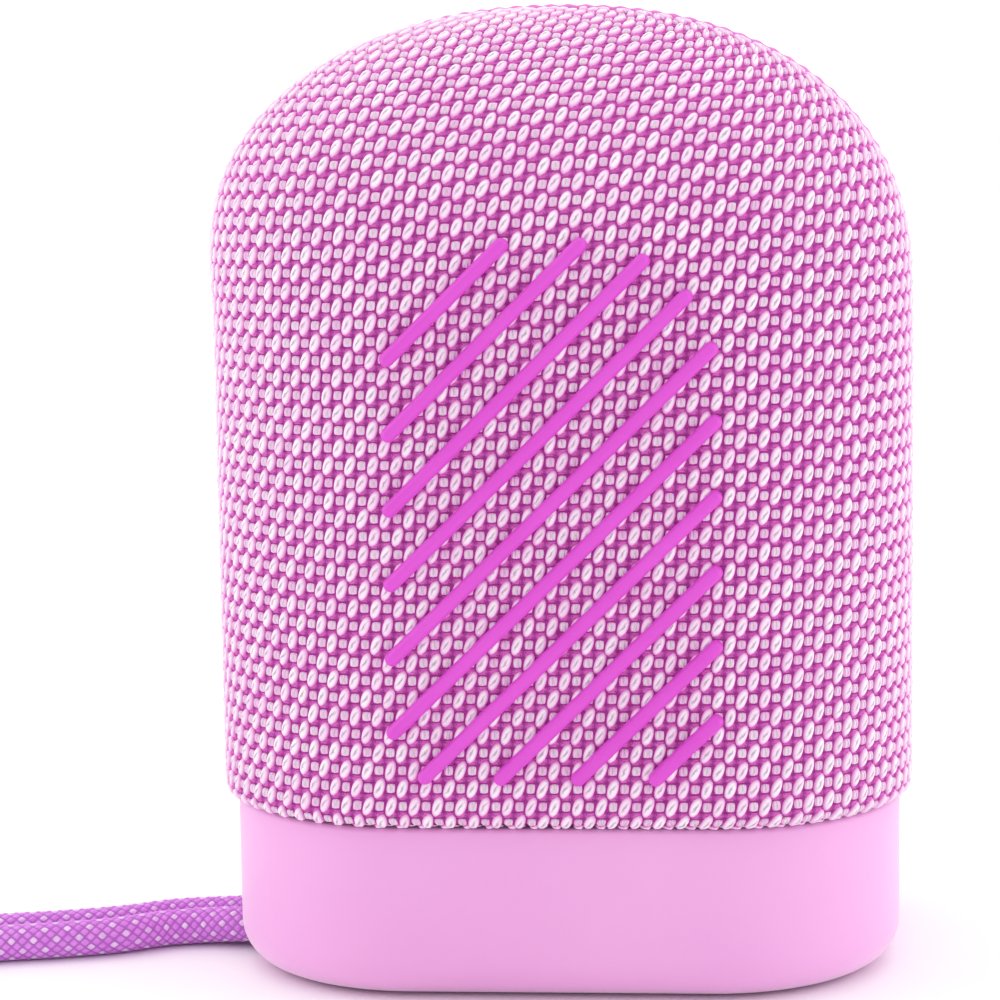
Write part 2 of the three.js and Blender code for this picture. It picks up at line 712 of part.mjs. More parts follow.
place('driver_magnet', turned([[6.6, 51.5], [11, 51.5], [11, 56.3], [6.6, 56.3]], 20), 'ferrite');
place('driver_yoke', turned([
  [0, 49.4], [10.5, 49.4], [10.5, 51.2], [4.4, 51.2], [4.4, 57.6], [0, 57.6],
], 20), 'steel');
place('voice_coil', turned([[5, 54], [5.6, 54], [5.6, 60.5], [5, 60.5]], 20), 'copper');
place('driver_cone', turned([
  [0, 60.8], [6, 60.8], [12.8, 65.8], [12.8, 66.5], [7, 62.9], [3.8, 64.4], [0, 65],
], 24), 'cone');
place('driver_surround', turned([
  [13.2, BASKET_TOP + GAP], [16.4, BASKET_TOP + GAP], [16.4, 69.5],
  [15.6, 69.7], [14.6, 70.7], [13.2, 69.7],
], 24), 'darkRubber');

const REAR = TUB.halfD + GAP;
place('radiator_frame', combine(
  wallPlate(RADIATOR.outerW, RADIATOR.outerH, 8, REAR, REAR + 1.5),
  { cut: [wallPlate(RADIATOR.innerW, RADIATOR.innerH, 6, 15, 30)] },
), 'blackPlastic');
place('radiator_diaphragm', wallPlate(
  RADIATOR.innerW - 0.6, RADIATOR.innerH - 0.6, 5.4, REAR + 0.1, REAR + 1.3,
), 'darkRubber');
const weight = new THREE.CylinderGeometry(4, 4, 0.8, 16);
weight.translate(0, REAR + 1.3 + GAP + 0.4, RADIATOR.z);
place('radiator_weight', weight, 'steel');

place('speaker_lead', tube([
  [13, -6, 57.5], [16, -7, 54], [17.6, -7.8, 48], [LEAD_HOLE.x, LEAD_HOLE.y, 40],
  [LEAD_HOLE.x, LEAD_HOLE.y, 30], [LEAD_HOLE.x, LEAD_HOLE.y, 20], [LEAD_HOLE.x, LEAD_HOLE.y, ON_BOARD],
], 0.7, 20), 'wire');

export default group;
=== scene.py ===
"""Shower speaker: the looks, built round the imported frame.

Lengths below are in millimetres unless a name says otherwise, and MM turns them into metres.
+Z is up, the front faces -Y and the cord leaves on the -X side.
"""

import json
import math

import bmesh
import bpy
import numpy as np
from mathutils import Matrix, Vector


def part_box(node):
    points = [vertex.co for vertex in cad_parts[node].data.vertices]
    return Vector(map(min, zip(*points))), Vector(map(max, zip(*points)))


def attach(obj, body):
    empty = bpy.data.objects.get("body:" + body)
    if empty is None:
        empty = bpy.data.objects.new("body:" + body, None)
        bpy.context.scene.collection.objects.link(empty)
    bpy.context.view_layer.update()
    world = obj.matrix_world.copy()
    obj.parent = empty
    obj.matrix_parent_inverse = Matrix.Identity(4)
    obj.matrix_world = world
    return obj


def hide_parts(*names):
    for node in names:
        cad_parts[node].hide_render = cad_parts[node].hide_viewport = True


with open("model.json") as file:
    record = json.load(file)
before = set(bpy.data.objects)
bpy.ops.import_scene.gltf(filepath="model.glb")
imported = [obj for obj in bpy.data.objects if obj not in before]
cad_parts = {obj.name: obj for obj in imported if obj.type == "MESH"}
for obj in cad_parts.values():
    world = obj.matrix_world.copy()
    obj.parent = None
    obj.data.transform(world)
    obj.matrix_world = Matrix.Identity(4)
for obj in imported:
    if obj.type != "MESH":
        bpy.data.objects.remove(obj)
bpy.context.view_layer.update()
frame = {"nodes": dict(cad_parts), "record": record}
MM = 0.001

# -------- driving sizes

# fabric body, measured over the yarn crowns, as in the frame
BODY_HALF_W = 37.0
BODY_HALF_D = 30.0
BODY_CORNER = 20.5
DOME_START = 75.2
BODY_TOP = 102.4
DOME_POWER = 2.2
HEM_BOTTOM = 18.9
HEM_ROLL = 1.5
HEM_TURN_IN = 3.0

# weave
COLUMN_COUNT = 194            # warp yarns round the wall
ROW_PITCH = 1.87
CROWN_HEIGHT = 0.50           # ground cloth to the top of a warp crown
CLOTH_LIFT = 0.25             # the crowns stand this far proud of the frame's sleeve
GROUND_LIFT = CLOTH_LIFT - CROWN_HEIGHT
CLOTH_THICKNESS = 0.6
WARP_HALF = (0.575, 1.08)     # half width and half length of a warp crown
WARP_LEAN = 0.5               # how far its far end leans sideways, in half widths
WEFT_HALF = (0.47, 0.50)
WEFT_LEAN = 0.05
WEFT_HEIGHT = 0.32
SIZE_SPREAD = 0.05            # the crowns' sizes and turns differ by up to this much
TURN_SPREAD = 0.06
THREAD_TOP = 0.04             # mean height of a weft thread over the ground cloth
THREAD_WAVE = 0.19            # how far it waves in and out
ROW_RISE = 2.6                # how far the rows climb from left to right over the dome
RISE_START = 22.0             # they start to climb this far up the wall
RISE_LENGTH = 45.0
COLUMN_SKEW = 0.10            # sideways drift of the columns per mm up the dome
SKEW_START = 6.0              # they start to drift this far below the dome
SKEW_EASE = 4.0
DOME_LEAN = 0.75              # the cloth is pulled this far to the left at the top
LEAN_START = 68.0             # height at which the pull starts
LEAN_LENGTH = 24.0

# seam over the dome
SEAM_DOWN = 14.0              # how far it runs down the wall
SEAM_SUNK = 0.32              # its middle line, below the tops of the crowns
SEAM_RADIUS = 0.34
SEAM_WIDENING = 1.25          # its width over its height
SEAM_STEP = 0.2
SEAM_FADE = 5.0               # length over which each end thins out
STITCH_LENGTH = 1.9
STITCH_RELIEF = 0.16

# base
BASE_HALF_W = 35.9
BASE_HALF_D = 28.6
BASE_CORNER = 20.0
BASE_BOTTOM = 0.25
BASE_TOP = 18.6
BASE_TOP_EDGE = 0.5           # radius of the upper edge
BASE_FILLET = 4.3             # radius of the lower edge
BASE_WALL = 2.2
DECK_UNDERSIDE = 16.6
DECK_OPENING = 15.0           # from the wall's outside to the opening in the deck
RIM_WIDTH = 2.0               # flat rim inside the lower edge
RIM_TOP = 2.6
FOOT_WIDTH = 2.1              # the wall's foot slopes out to this much over its thickness
FOOT_TOP = 4.6

# openings in the rear of the base, as half widths and heights
BUTTON_X = (-9.6, -3.2, 3.2, 9.6)
BUTTON_Z = 14.0
BUTTON_CUT_HALF_W = 2.6
BUTTON_CUT_HALF_H = 1.7
RECESS_HALF_W = 7.5
RECESS_Z = (5.3, 11.5)
PORT_HALF_W = 5.0
PORT_Z = (7.3, 11.2)
CUT_THROUGH = 3.6             # depths from the rear face
RECESS_DEPTH = 1.2
CUT_BEYOND = 1.4

# ribs
RIB_WIDTH = 1.52
RIB_SUNK = 0.45               # how far a rib's underside is pressed into the cloth
RIB_LIFT = 0.3                # height of its rim over the frame's sleeve
RIB_PROUD = 0.9               # its top over that rim
RIB_BEVEL = 0.5
RIB_CAMBER = 0.06             # share of the height that is lost at the long edges
RIB_OVERLAP = 0.25            # how far its ends pass the frame's rib

# cord
CORD_RADIUS = 2.0
CORD_PITCH = 4.4
CORD_EXIT_Y = -5.6
CORD_EXIT_Z = 2.6
CORD_END_X = -33.5
BRAID_STRANDS = 10            # strands in each direction
BRAID_LAY = 0.6               # half the length of one braid cell along the cord
BRAID_RELIEF = 0.2            # the crown of a strand over the gaps beside it
BRAID_FULLNESS = 0.6          # below 1 for a plump strand with narrow gaps

# camera
CAMERA_TARGET = (0.0, 0.0, 50.0)
CAMERA_DISTANCE = 350.0
CAMERA_ELEVATION = 8.0        # degrees above the horizon
CAMERA_AZIMUTH = 3.85         # degrees round to the right
CAMERA_ROLL = 0.68
CAMERA_LENS = 114.3
CAMERA_SHIFT = (-0.0703, -0.0114)

# light
ROOM_LIGHT = 1.18
FRONT_DIM = 0.62              # the room's brightness straight behind the camera
LEFT_POWER = 0.9              # watts
RIGHT_POWER = 0.9
TOP_POWER = 0.8
FLOOR_HALF = 3000.0


# -------- materials

def linear(code):
    """A hexadecimal display colour as linear RGBA."""
    channels = [int(code[i:i + 2], 16) / 255 for i in (0, 2, 4)]
    scene = [c / 12.92 if c <= 0.04045 else ((c + 0.055) / 1.055) ** 2.4 for c in channels]
    return (*scene, 1.0)


class Nodes:
    """A node tree being put together."""

    def __init__(self, tree):
        self.tree = tree

    def node(self, kind, **inputs):
        """A new node. An underscore in an input's keyword stands for a space."""
        made = self.tree.nodes.new(kind)
        for key, value in inputs.items():
            made.inputs[key.replace("_", " ")].default_value = value
        return made

    def link(self, source, target):
        self.tree.links.new(source, target)

    def axes(self, vector):
        """The X, Y and Z outputs of a vector."""
        split = self.node("ShaderNodeSeparateXYZ")
        self.link(vector, split.inputs["Vector"])
        return split.outputs

    def remap(self, value, low, high, new_low, new_high):
        """Carries the range low to high over to new_low to new_high, held at both ends."""
        ends = {"From_Min": low, "From_Max": high, "To_Min": new_low, "To_Max": new_high}
        made = self.node("ShaderNodeMapRange", **ends)
        self.link(value, made.inputs["Value"])
        return made.outputs["Result"]

    def math(self, operation, a, b=None):
        """a and b are numbers or sockets."""
        made = self.node("ShaderNodeMath")
        made.operation = operation
        for socket, value in zip(made.inputs, (a, b)):
            if value is None:
                continue
            if isinstance(value, (int, float)):
                socket.default_value = value
            else:
                self.link(value, socket)
        return made.outputs["Value"]

    def plus(self, a, b):
        return self.math("ADD", a, b)

    def minus(self, a, b):
        return self.math("SUBTRACT", a, b)

    def times(self, a, b):
        return self.math("MULTIPLY", a, b)

    def size(self, a):
        return self.math("ABSOLUTE", a)

    def mix(self, factor, first, second):
        """first and second are colour codes or colour sockets."""
        made = self.node("ShaderNodeMix")
        made.data_type = "RGBA"
        self.link(factor, made.inputs["Factor"])
        for key, value in (("A", first), ("B", second)):
            socket = [s for s in made.inputs if s.name == key and s.type == "RGBA"][0]
            if isinstance(value, str):
                socket.default_value = linear(value)
            else:
                self.link(value, socket)
        return [s for s in made.outputs if s.type == "RGBA"][0]


class Paint(Nodes):
    """A material being put together round its Principled shader."""

    def __init__(self, name, roughness=0.5, metallic=0.0):
        self.material = bpy.data.materials.new(name)
        self.material.use_nodes = True
        super().__init__(self.material.node_tree)
        self.shader = self.tree.nodes["Principled BSDF"]
        self.set("Roughness", roughness)
        self.set("Metallic", metallic)

    def set(self, socket, value):
        self.shader.inputs[socket].default_value = value

    def sheen(self, weight, roughness=0.4):
        self.set("Sheen Weight", weight)
        self.set("Sheen Roughness", roughness)

    def place(self):
        return self.node("ShaderNodeTexCoord").outputs["Object"]

    def attribute(self, name):
        made = self.node("ShaderNodeAttribute")
        made.attribute_name = name
        return made.outputs

    def noise(self, size_mm, detail=3.0, vector=None):
        """Noise whose features are about size_mm across."""
        made = self.node("ShaderNodeTexNoise", Scale=1000.0 / size_mm, Detail=detail)
        self.link(vector if vector is not None else self.place(), made.inputs["Vector"])
        return made.outputs["Fac"]

    def spread(self, noise, low=0.0, high=1.0):
        """Noise lies mostly between 0.3 and 0.7. This spreads it from low to high."""
        return self.remap(noise, 0.3, 0.7, low, high)

    def cloud(self, size_mm):
        """Soft patches about size_mm across, from 0 to 1."""
        return self.spread(self.noise(size_mm))

    def stretched(self, scale):
        """The place, scaled by a different number along each axis."""
        made = self.node("ShaderNodeMapping", Scale=scale)
        self.link(self.place(), made.inputs["Vector"])
        return made.outputs["Vector"]

    def colour(self, source):
        self.link(source, self.shader.inputs["Base Color"])

    def roughen(self, source, low, high):
        self.link(self.spread(source, low, high), self.shader.inputs["Roughness"])

    def bump(self, height, depth_mm):
        made = self.node("ShaderNodeBump", Strength=1.0, Distance=depth_mm * MM)
        self.link(height, made.inputs["Height"])
        self.link(made.outputs["Normal"], self.shader.inputs["Normal"])


def grained(name, tone, second, roughness, grain_mm, depth_mm, metallic=0.0, cloud_mm=9.0):
    """A moulded, sprayed or cast surface: clouded colour, a fine grain and uneven gloss."""
    paint = Paint(name, roughness, metallic)
    cloud = paint.remap(paint.noise(cloud_mm), 0.35, 0.65, 0.0, 1.0)
    paint.colour(paint.mix(cloud, tone, second))
    grain = paint.noise(grain_mm, 2.0)
    paint.roughen(grain, roughness - 0.06, roughness + 0.08)
    paint.bump(grain, depth_mm)
    return paint


def brushed(name, tone, second, roughness):
    """Bare metal with fine scratches along one way."""
    paint = Paint(name, roughness, 1.0)
    scratch = paint.noise(3.0, 4.0, paint.stretched((1.0, 14.0, 1.0)))
    paint.colour(paint.mix(paint.spread(scratch), tone, second))
    paint.roughen(scratch, roughness - 0.08, roughness + 0.1)
    paint.bump(scratch, 0.01)
    return paint


def crown_coordinates(paint):
    """Across and along a yarn crown, each from -1 to 1, from its map."""
    mapped = paint.node("ShaderNodeUVMap")
    mapped.uv_map = "crown"
    axes = paint.axes(mapped.outputs["UV"])
    across = paint.remap(axes["X"], 0.0, 1.0, -1.0, 1.0)
    along = paint.remap(axes["Y"], 0.0, 1.0, -1.0, 1.0)
    return across, along


def yarn_tone_or_gap_shade(paint):
    """A crown's own random number, or how near a weft thread is to a column, from 0 to 1; for a thread it
    sets the painted shade between the columns.
    """
    return paint.attribute("tone_or_gap_shade")["Fac"]


def warp_material():
    """Plump two-ply yarn, nearly white, with painted grey shade in the crease between its plies and painted
    darker pink shade towards its rim.
    """
    paint = Paint("warp_yarn", 0.72)
    across, along = crown_coordinates(paint)
    # The crease crosses the crown aslant, and wanders a little to either side.
    turned = paint.minus(paint.times(along, 0.62), paint.times(across, 0.78))
    wander = paint.times(paint.minus(paint.noise(0.7, 2.0), 0.5), 0.8)
    offset = paint.plus(paint.plus(turned, -0.04), wander)
    near = paint.remap(paint.size(offset), 0.03, 0.27, 1.0, 0.0)
    middle = paint.remap(paint.size(along), 0.12, 0.6, 1.0, 0.0)
    crease = paint.times(near, middle)
    plain = paint.mix(yarn_tone_or_gap_shade(paint), "fff3fd", "fcdff6")
    # Painted shade: towards its rim, where it bends down into the cloth, the crown is painted a darker pink.
    rim = paint.plus(paint.times(across, across), paint.times(along, along))
    shaded = paint.mix(paint.remap(rim, 0.4, 1.05, 0.0, 0.95), plain, "e473ce")
    # Painted shade: the crease is painted grey, and the bump also sinks it.
    paint.colour(paint.mix(paint.times(crease, 0.8), shaded, "ad8caa"))
    fibre = paint.math("SINE", paint.times(turned, 16.0))
    height = paint.minus(paint.times(fibre, 0.12), crease)
    paint.bump(height, 0.07)
    paint.sheen(0.12)
    return paint


def weft_material():
    """Short crown of the finer yarn, with two or three upright fibre ridges, painted shade in the grooves
    between them, and painted grey shade in a dent beside its middle.
    """
    paint = Paint("weft_yarn", 0.75)
    across, along = crown_coordinates(paint)
    ridge = paint.math("SINE", paint.times(across, 9.5))
    plain = paint.mix(yarn_tone_or_gap_shade(paint), "feeefb", "facef1")
    # Painted shade: the yarn is darker pink in the grooves between its fibre ridges.
    groove = paint.remap(ridge, -1.0, 0.3, 0.3, 0.0)
    ribbed = paint.mix(groove, plain, "e68bd6")
    # Painted shade: a grey line in the dent beside the middle, like the crease of a warp crown.
    beside = paint.size(paint.minus(across, 0.12))
    middle = paint.remap(paint.size(along), 0.2, 0.8, 1.0, 0.0)
    dent = paint.times(paint.remap(beside, 0.05, 0.32, 0.42, 0.0), middle)
    paint.colour(paint.mix(dent, ribbed, "a987a8"))
    paint.bump(ridge, 0.05)
    paint.sheen(0.1)
    return paint


def ground_material(name, tone, second, roughness, between=None):
    """Magenta yarn, with painted light that makes it brighter up the dome, and painted shade that darkens it
    between the columns if a colour is given for that shade.
    """
    paint = Paint(name, roughness)
    fibre = paint.noise(0.9, 3.0, paint.stretched((1.0, 1.0, 5.0)))
    shade = paint.mix(paint.spread(fibre), tone, second)
    # Painted shade: the thread is darker between the columns, where it lies low under the warp.
    if between:
        shade = paint.mix(paint.remap(yarn_tone_or_gap_shade(paint), 0.05, 0.5, 0.85, 0.0), shade, between)
    # Painted light: the cloth is mixed towards a brighter pink up the dome, by height alone.
    height = paint.axes(paint.place())["Z"]
    painted_dome_light = paint.remap(height, DOME_START * MM, BODY_TOP * MM, 0.0, 0.6)
    paint.colour(paint.mix(painted_dome_light, shade, "e565c9"))
    paint.bump(fibre, 0.08)
    return paint


def braid_material():
    """Lilac braid: plain strands, with a pale one in every second strand of one direction, and painted shade
    in the gaps between the strands.
    """
    paint = Paint("cord_braid", 0.6)
    split = paint.node("ShaderNodeSeparateColor")
    paint.link(paint.attribute("braid")["Color"], split.inputs["Color"])
    pale, crown = split.outputs["Red"], split.outputs["Green"]
    cloud = paint.cloud(1.1)
    lilac = paint.mix(cloud, "da7ae6", "ea98f1")
    # Painted shade: the lilac is darker in the gaps between the strands' crowns.
    gap = paint.mix(paint.remap(crown, 0.1, 0.6, 0.85, 0.0), lilac, "b05ac4")
    fleck = paint.mix(cloud, "f6dcf7", "e3b9ea")
    shown = paint.times(pale, paint.remap(crown, 0.25, 0.55, 0.0, 1.0))
    paint.colour(paint.mix(shown, gap, fleck))
    paint.bump(paint.noise(0.25, 2.0), 0.03)
    paint.sheen(0.3)
    return paint


def circuit_material():
    """Green solder mask with fine copper tracks showing through."""
    paint = Paint("circuit_board", 0.45)
    tracks = paint.node("ShaderNodeTexBrick", Scale=420.0, Mortar_Size=0.03)
    paint.link(paint.place(), tracks.inputs["Vector"])
    mask = paint.mix(paint.cloud(4.0), "17603a", "11502f")
    paint.colour(paint.mix(tracks.outputs["Fac"], mask, "2f8a55"))
    paint.bump(tracks.outputs["Fac"], 0.03)
    return paint


def wound_material():
    """Enamelled copper turns of the coil."""
    paint = Paint("coil_winding", 0.35, 1.0)
    turns = paint.node("ShaderNodeTexWave", Scale=900.0)
    turns.bands_direction = "Z"
    paint.link(paint.place(), turns.inputs["Vector"])
    paint.colour(paint.mix(turns.outputs["Fac"], "8c4f22", "c98244"))
    paint.bump(turns.outputs["Fac"], 0.05)
    return paint


SOFT_TOUCH = grained("soft_touch_plastic", "eca2df", "efabe3", 0.5, 0.35, 0.012, cloud_mm=40.0)
SOFT_TOUCH.sheen(0.6, 0.5)
RIB_RUBBER = grained("rib_rubber", "e04fd4", "dc48cf", 0.46, 0.3, 0.015, cloud_mm=14.0)
PINK_RUBBER = grained("pink_rubber", "d77ac6", "cf6fbe", 0.7, 0.3, 0.03)
MARK_INK = grained("button_mark", "b94fab", "b045a2", 0.55, 0.2, 0.01)
WARP_YARN = warp_material()
WEFT_YARN = weft_material()
GROUND_CLOTH = ground_material("ground_cloth", "a42790", "bb3ca6", 0.9)
GROUND_YARN = ground_material("ground_yarn", "c746ad", "e577ce", 0.8, "a02a90")
SEAM_YARN = ground_material("seam_yarn", "d98ccb", "eeb6e4", 0.75)
CORD_BRAID = braid_material()

SLOT_PAINTS = {
    "woven_fabric": GROUND_CLOTH,
    "rib_rubber": RIB_RUBBER,
    "soft_touch_plastic": SOFT_TOUCH,
    "pink_rubber": PINK_RUBBER,
    "cord_braid": CORD_BRAID,
    "bright_steel": brushed("bright_steel", "c4c7cc", "a2a6ad", 0.32),
    "coil_winding": wound_material(),
    "circuit_board": circuit_material(),
}
# two tones, roughness, and the grain's size and depth in mm
GRAINED_SLOTS = {
    "black_rubber": ("2b2b2f", "222226", 0.8, 0.4, 0.05),
    "black_plastic": ("1f1f23", "18181b", 0.55, 0.5, 0.03),
    "cone_plastic": ("2a2a2f", "202024", 0.6, 1.2, 0.06),
    "ferrite": ("3d3d41", "303034", 0.65, 0.6, 0.06, 0.1),
    "chip_case": ("161618", "1e1e21", 0.5, 0.4, 0.02),
    "cell_wrap": ("9aa7b5", "8b99a8", 0.35, 3.0, 0.05),
    "wire_sheath": ("8f2323", "7d1b1b", 0.45, 0.6, 0.03),
}
for slot, looks in GRAINED_SLOTS.items():
    SLOT_PAINTS[slot] = grained(slot, *looks)


# -------- mesh helpers

def new_object(name, data):
    made = bpy.data.objects.new(name, data)
    bpy.context.scene.collection.objects.link(made)
    return made


def placed(name, mesh, paint, smooth_angle):
    """The object of a mesh. Its edges are sharp past smooth_angle degrees, or nowhere if that is 0."""
    if smooth_angle:
        mesh.set_sharp_from_angle(angle=math.radians(smooth_angle))
    made = new_object(name, mesh)
    made.data.materials.append(paint.material)
    return made


def mesh_object(name, points_mm, faces, paint, smooth_angle=40.0):
    """A mesh object from points in millimetres and a list of faces."""
    mesh = bpy.data.meshes.new(name)
    mesh.from_pydata((np.asarray(points_mm, float) * MM).tolist(), [], faces)
    mesh.polygons.foreach_set("use_smooth", [True] * len(mesh.polygons))
    return placed(name, mesh, paint, smooth_angle)


def grid_object(name, points_mm, faces, paint):
    """The same for a large mesh, whose faces are an array of corner indices, all of one size."""
    mesh = bpy.data.meshes.new(name)
    points = np.asarray(points_mm, np.float32) * MM
    faces = np.asarray(faces, np.int32)
    mesh.vertices.add(len(points))
    mesh.vertices.foreach_set("co", points.ravel())
    mesh.loops.add(faces.size)
    mesh.loops.foreach_set("vertex_index", faces.ravel())
    mesh.polygons.add(len(faces))
    starts = np.arange(0, faces.size, faces.shape[1], dtype=np.int32)
    mesh.polygons.foreach_set("loop_start", starts)
    mesh.polygons.foreach_set("use_smooth", np.ones(len(faces), bool))
    mesh.update(calc_edges=True)
    mesh.validate()
    return placed(name, mesh, paint, 0.0)


def rounded_loop(half_w, half_d, corner, per_corner=16, per_side=1):
    """A rounded rectangle as an array of (x, y), anticlockwise from the right side."""
    radius = max(corner, 0.02)
    arcs = []
    for quarter, (side_x, side_y) in enumerate(((1, 1), (-1, 1), (-1, -1), (1, -1))):
        angles = (quarter + np.linspace(0.0, 1.0, per_corner + 1)) * math.pi / 2
        x = side_x * (half_w - radius) + radius * np.cos(angles)
        y = side_y * (half_d - radius) + radius * np.sin(angles)
        arcs.append(np.column_stack((x, y)))
    steps = np.arange(1, per_side)[:, None]
    loop = []
    for arc, following in zip(arcs, arcs[1:] + arcs[:1]):
        loop += [arc, arc[-1] + (following[0] - arc[-1]) * steps / per_side]
    return np.vstack(loop)


def upright(loop, centre_x, y, centre_z):
    """A loop of (x, z) in the plane at y, moved to its centre."""
    return np.column_stack((loop[:, 0] + centre_x, np.full(len(loop), y), loop[:, 1] + centre_z))


def skin(rings, wrap=False):
    """Joins rings of equal length into a closed surface, capped unless it wraps."""
    points = np.vstack(rings)
    count = len(rings[0])
    faces = []
    last = len(rings) if wrap else len(rings) - 1
    for row in range(last):
        low, high = row * count, ((row + 1) % len(rings)) * count
        for column in range(count):
            following = (column + 1) % count
            faces.append((low + column, low + following, high + following, high + column))
    if not wrap:
        faces.append(tuple(range(count))[::-1])
        faces.append(tuple(range((len(rings) - 1) * count, len(rings) * count)))
    return points, faces


def outward(made, weld=0.0, close=False):
    """Turns every face outwards, after welding points within weld metres and closing open ends."""
    work = bmesh.new()
    work.from_mesh(made.data)
    if weld:
        bmesh.ops.remove_doubles(work, verts=work.verts, dist=weld)
    if close:
        open_edges = [edge for edge in work.edges if edge.is_boundary]
        bmesh.ops.holes_fill(work, edges=open_edges, sides=0)
    bmesh.ops.recalc_face_normals(work, faces=work.faces)
    work.to_mesh(made.data)
    work.free()
    return made


def run_along(points):
    """The length along a line of points, at each point."""
    return np.concatenate(([0.0], np.cumsum(np.linalg.norm(np.diff(points, axis=0), axis=1))))


def resampled(points, run, count):
    """count points evenly spaced along a line whose lengths are in run, and their own lengths."""
    wanted = np.linspace(0.0, run[-1], count)
    line = np.column_stack([np.interp(wanted, run, points[:, axis]) for axis in range(3)])
    return line, wanted


def directions(line):
    """The unit direction of a line at each of its points."""
    forward = np.gradient(line, axis=0)
    return forward / np.maximum(np.linalg.norm(forward, axis=1, keepdims=True), 1e-9)


def tube(line, radius, angle, first, second):
    """Rings of points round a line: angle 0 lies towards first, and a right angle towards second."""
    return (
        line[:, None, :]
        + (radius * np.cos(angle))[..., None] * first
        + (radius * np.sin(angle))[..., None] * second
    )


def cut(made, cutters):
    """Takes the cutters out of made, and removes them."""
    for cutter in cutters:
        step = made.modifiers.new("cut", "BOOLEAN")
        step.operation = "DIFFERENCE"
        step.solver = "EXACT"
        step.object = cutter
    bpy.context.view_layer.update()
    graph = bpy.context.evaluated_depsgraph_get()
    finished = bpy.data.meshes.new_from_object(made.evaluated_get(graph))
    made.modifiers.clear()
    made.data = finished
    for cutter in cutters:
        bpy.data.objects.remove(cutter)


def root(made, slot_name, *nodes):
    """made rides on the speaker's body and stands for the CAD nodes named."""
    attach(made, "speaker")
    if nodes:
        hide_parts(*nodes)


# -------- the body's outer form

WALL_BOTTOM = HEM_BOTTOM + HEM_ROLL
QUARTER = (BODY_HALF_W - BODY_CORNER) + (BODY_HALF_D - BODY_CORNER) + BODY_CORNER * math.pi / 2
COLUMN_PITCH = 4 * QUARTER / COLUMN_COUNT
HALF_COLUMN = COLUMN_PITCH / 2
WALL_LENGTH = DOME_START - WALL_BOTTOM

# The dome's front profile, as a table of scale and height against the length up it.
_angle = np.linspace(0.0, math.pi / 2, 2000)
_scale = np.cos(_angle) ** (2 / DOME_POWER)
_height = DOME_START + (BODY_TOP - DOME_START) * np.sin(_angle) ** (2 / DOME_POWER)
_along = np.concatenate(([0.0], np.cumsum(np.hypot(np.diff(BODY_HALF_D * _scale), np.diff(_height)))))
DOME_LENGTH = float(_along[-1])
FULL_LENGTH = WALL_LENGTH + DOME_LENGTH
HEM_QUARTER = HEM_ROLL * math.pi / 2
ROWS = np.arange(-2, int(FULL_LENGTH / ROW_PITCH) + 1)


def up_profile(v):
    """Scale of the level section, how far it is set in, and height, at v mm up from the wall's foot."""
    v = np.asarray(v, float)
    over = np.clip(v - WALL_LENGTH, 0.0, DOME_LENGTH)
    scale = np.where(over > 0, np.interp(over, _along, _scale), 1.0)
    wall_z = WALL_BOTTOM + np.clip(v, 0.0, WALL_LENGTH)
    z = np.where(over > 0, np.interp(over, _along, _height), wall_z)
    under = np.clip(-v, 0.0, None)
    turn = np.clip(under / HEM_ROLL, 0.0, math.pi / 2)
    inset = HEM_ROLL * (1 - np.cos(turn)) + np.clip(under - HEM_QUARTER, 0.0, None)
    z = z - np.where(under > 0, HEM_ROLL * np.sin(turn), 0.0)
    return np.maximum(scale, 1e-4), inset, z


def around(s):
    """(x, y) of the unit section at arc length s from its front centre, positive to the right."""
    s = np.asarray(s, float)
    side = np.sign(s)
    length = np.abs(s)
    flat = BODY_HALF_W - BODY_CORNER
    bend = BODY_CORNER * math.pi / 2
    angle = np.clip((length - flat) / BODY_CORNER, 0.0, math.pi / 2)
    x = np.minimum(length, flat) + BODY_CORNER * np.sin(angle)
    y = -(BODY_HALF_D - BODY_CORNER) - BODY_CORNER * np.cos(angle)
    y = y + np.clip(length - flat - bend, 0.0, None)
    return side * x, y


def ease(value, start, length):
    """0 below start and 1 past its end, with a smooth passage between."""
    share = np.clip((value - start) / length, 0.0, 1.0)
    return share * share * (3 - 2 * share)


def cloth_pull(z):
    """How far the cloth lies to the left of the frame at height z."""
    return DOME_LEAN * ease(z, LEAN_START, LEAN_LENGTH)


def on_body(s, v, lift=0.0, back=False):
    """Points on the body at arc length s and height v up its front profile, lifted off it."""
    s, v = np.broadcast_arrays(np.asarray(s, float), np.asarray(v, float))

    def plain(s, v):
        scale, inset, z = up_profile(v)
        limit = QUARTER * scale
        unit = np.clip(s, -limit, limit) / scale
        x, y = around(unit)
        shrink_x = (BODY_HALF_W - inset) / BODY_HALF_W
        shrink_y = (BODY_HALF_D - inset) / BODY_HALF_D
        return np.stack((x * scale * shrink_x, y * scale * shrink_y, z), axis=-1)

    point = plain(s, v)
    step = 0.05
    along_s = plain(s + step, v) - plain(s - step, v)
    along_v = plain(s, v + step) - plain(s, v - step)
    normal = np.cross(along_s, along_v)
    normal /= np.maximum(np.linalg.norm(normal, axis=-1, keepdims=True), 1e-9)
    point = point + normal * np.asarray(lift, float)[..., None]
    if back:
        point = point * np.array([-1.0, -1.0, 1.0])
    point[..., 0] -= cloth_pull(point[..., 2])
    return point


def row_rise(s, v):
    """How much higher a row lies at s than at the front centre: nothing low down, more on the dome."""
    scale, _, _ = up_profile(v)
    share = np.clip(s / (QUARTER * scale), -1.0, 1.0)
    return ROW_RISE * ease(v, RISE_START, RISE_LENGTH) * np.sin(share * math.pi / 2)


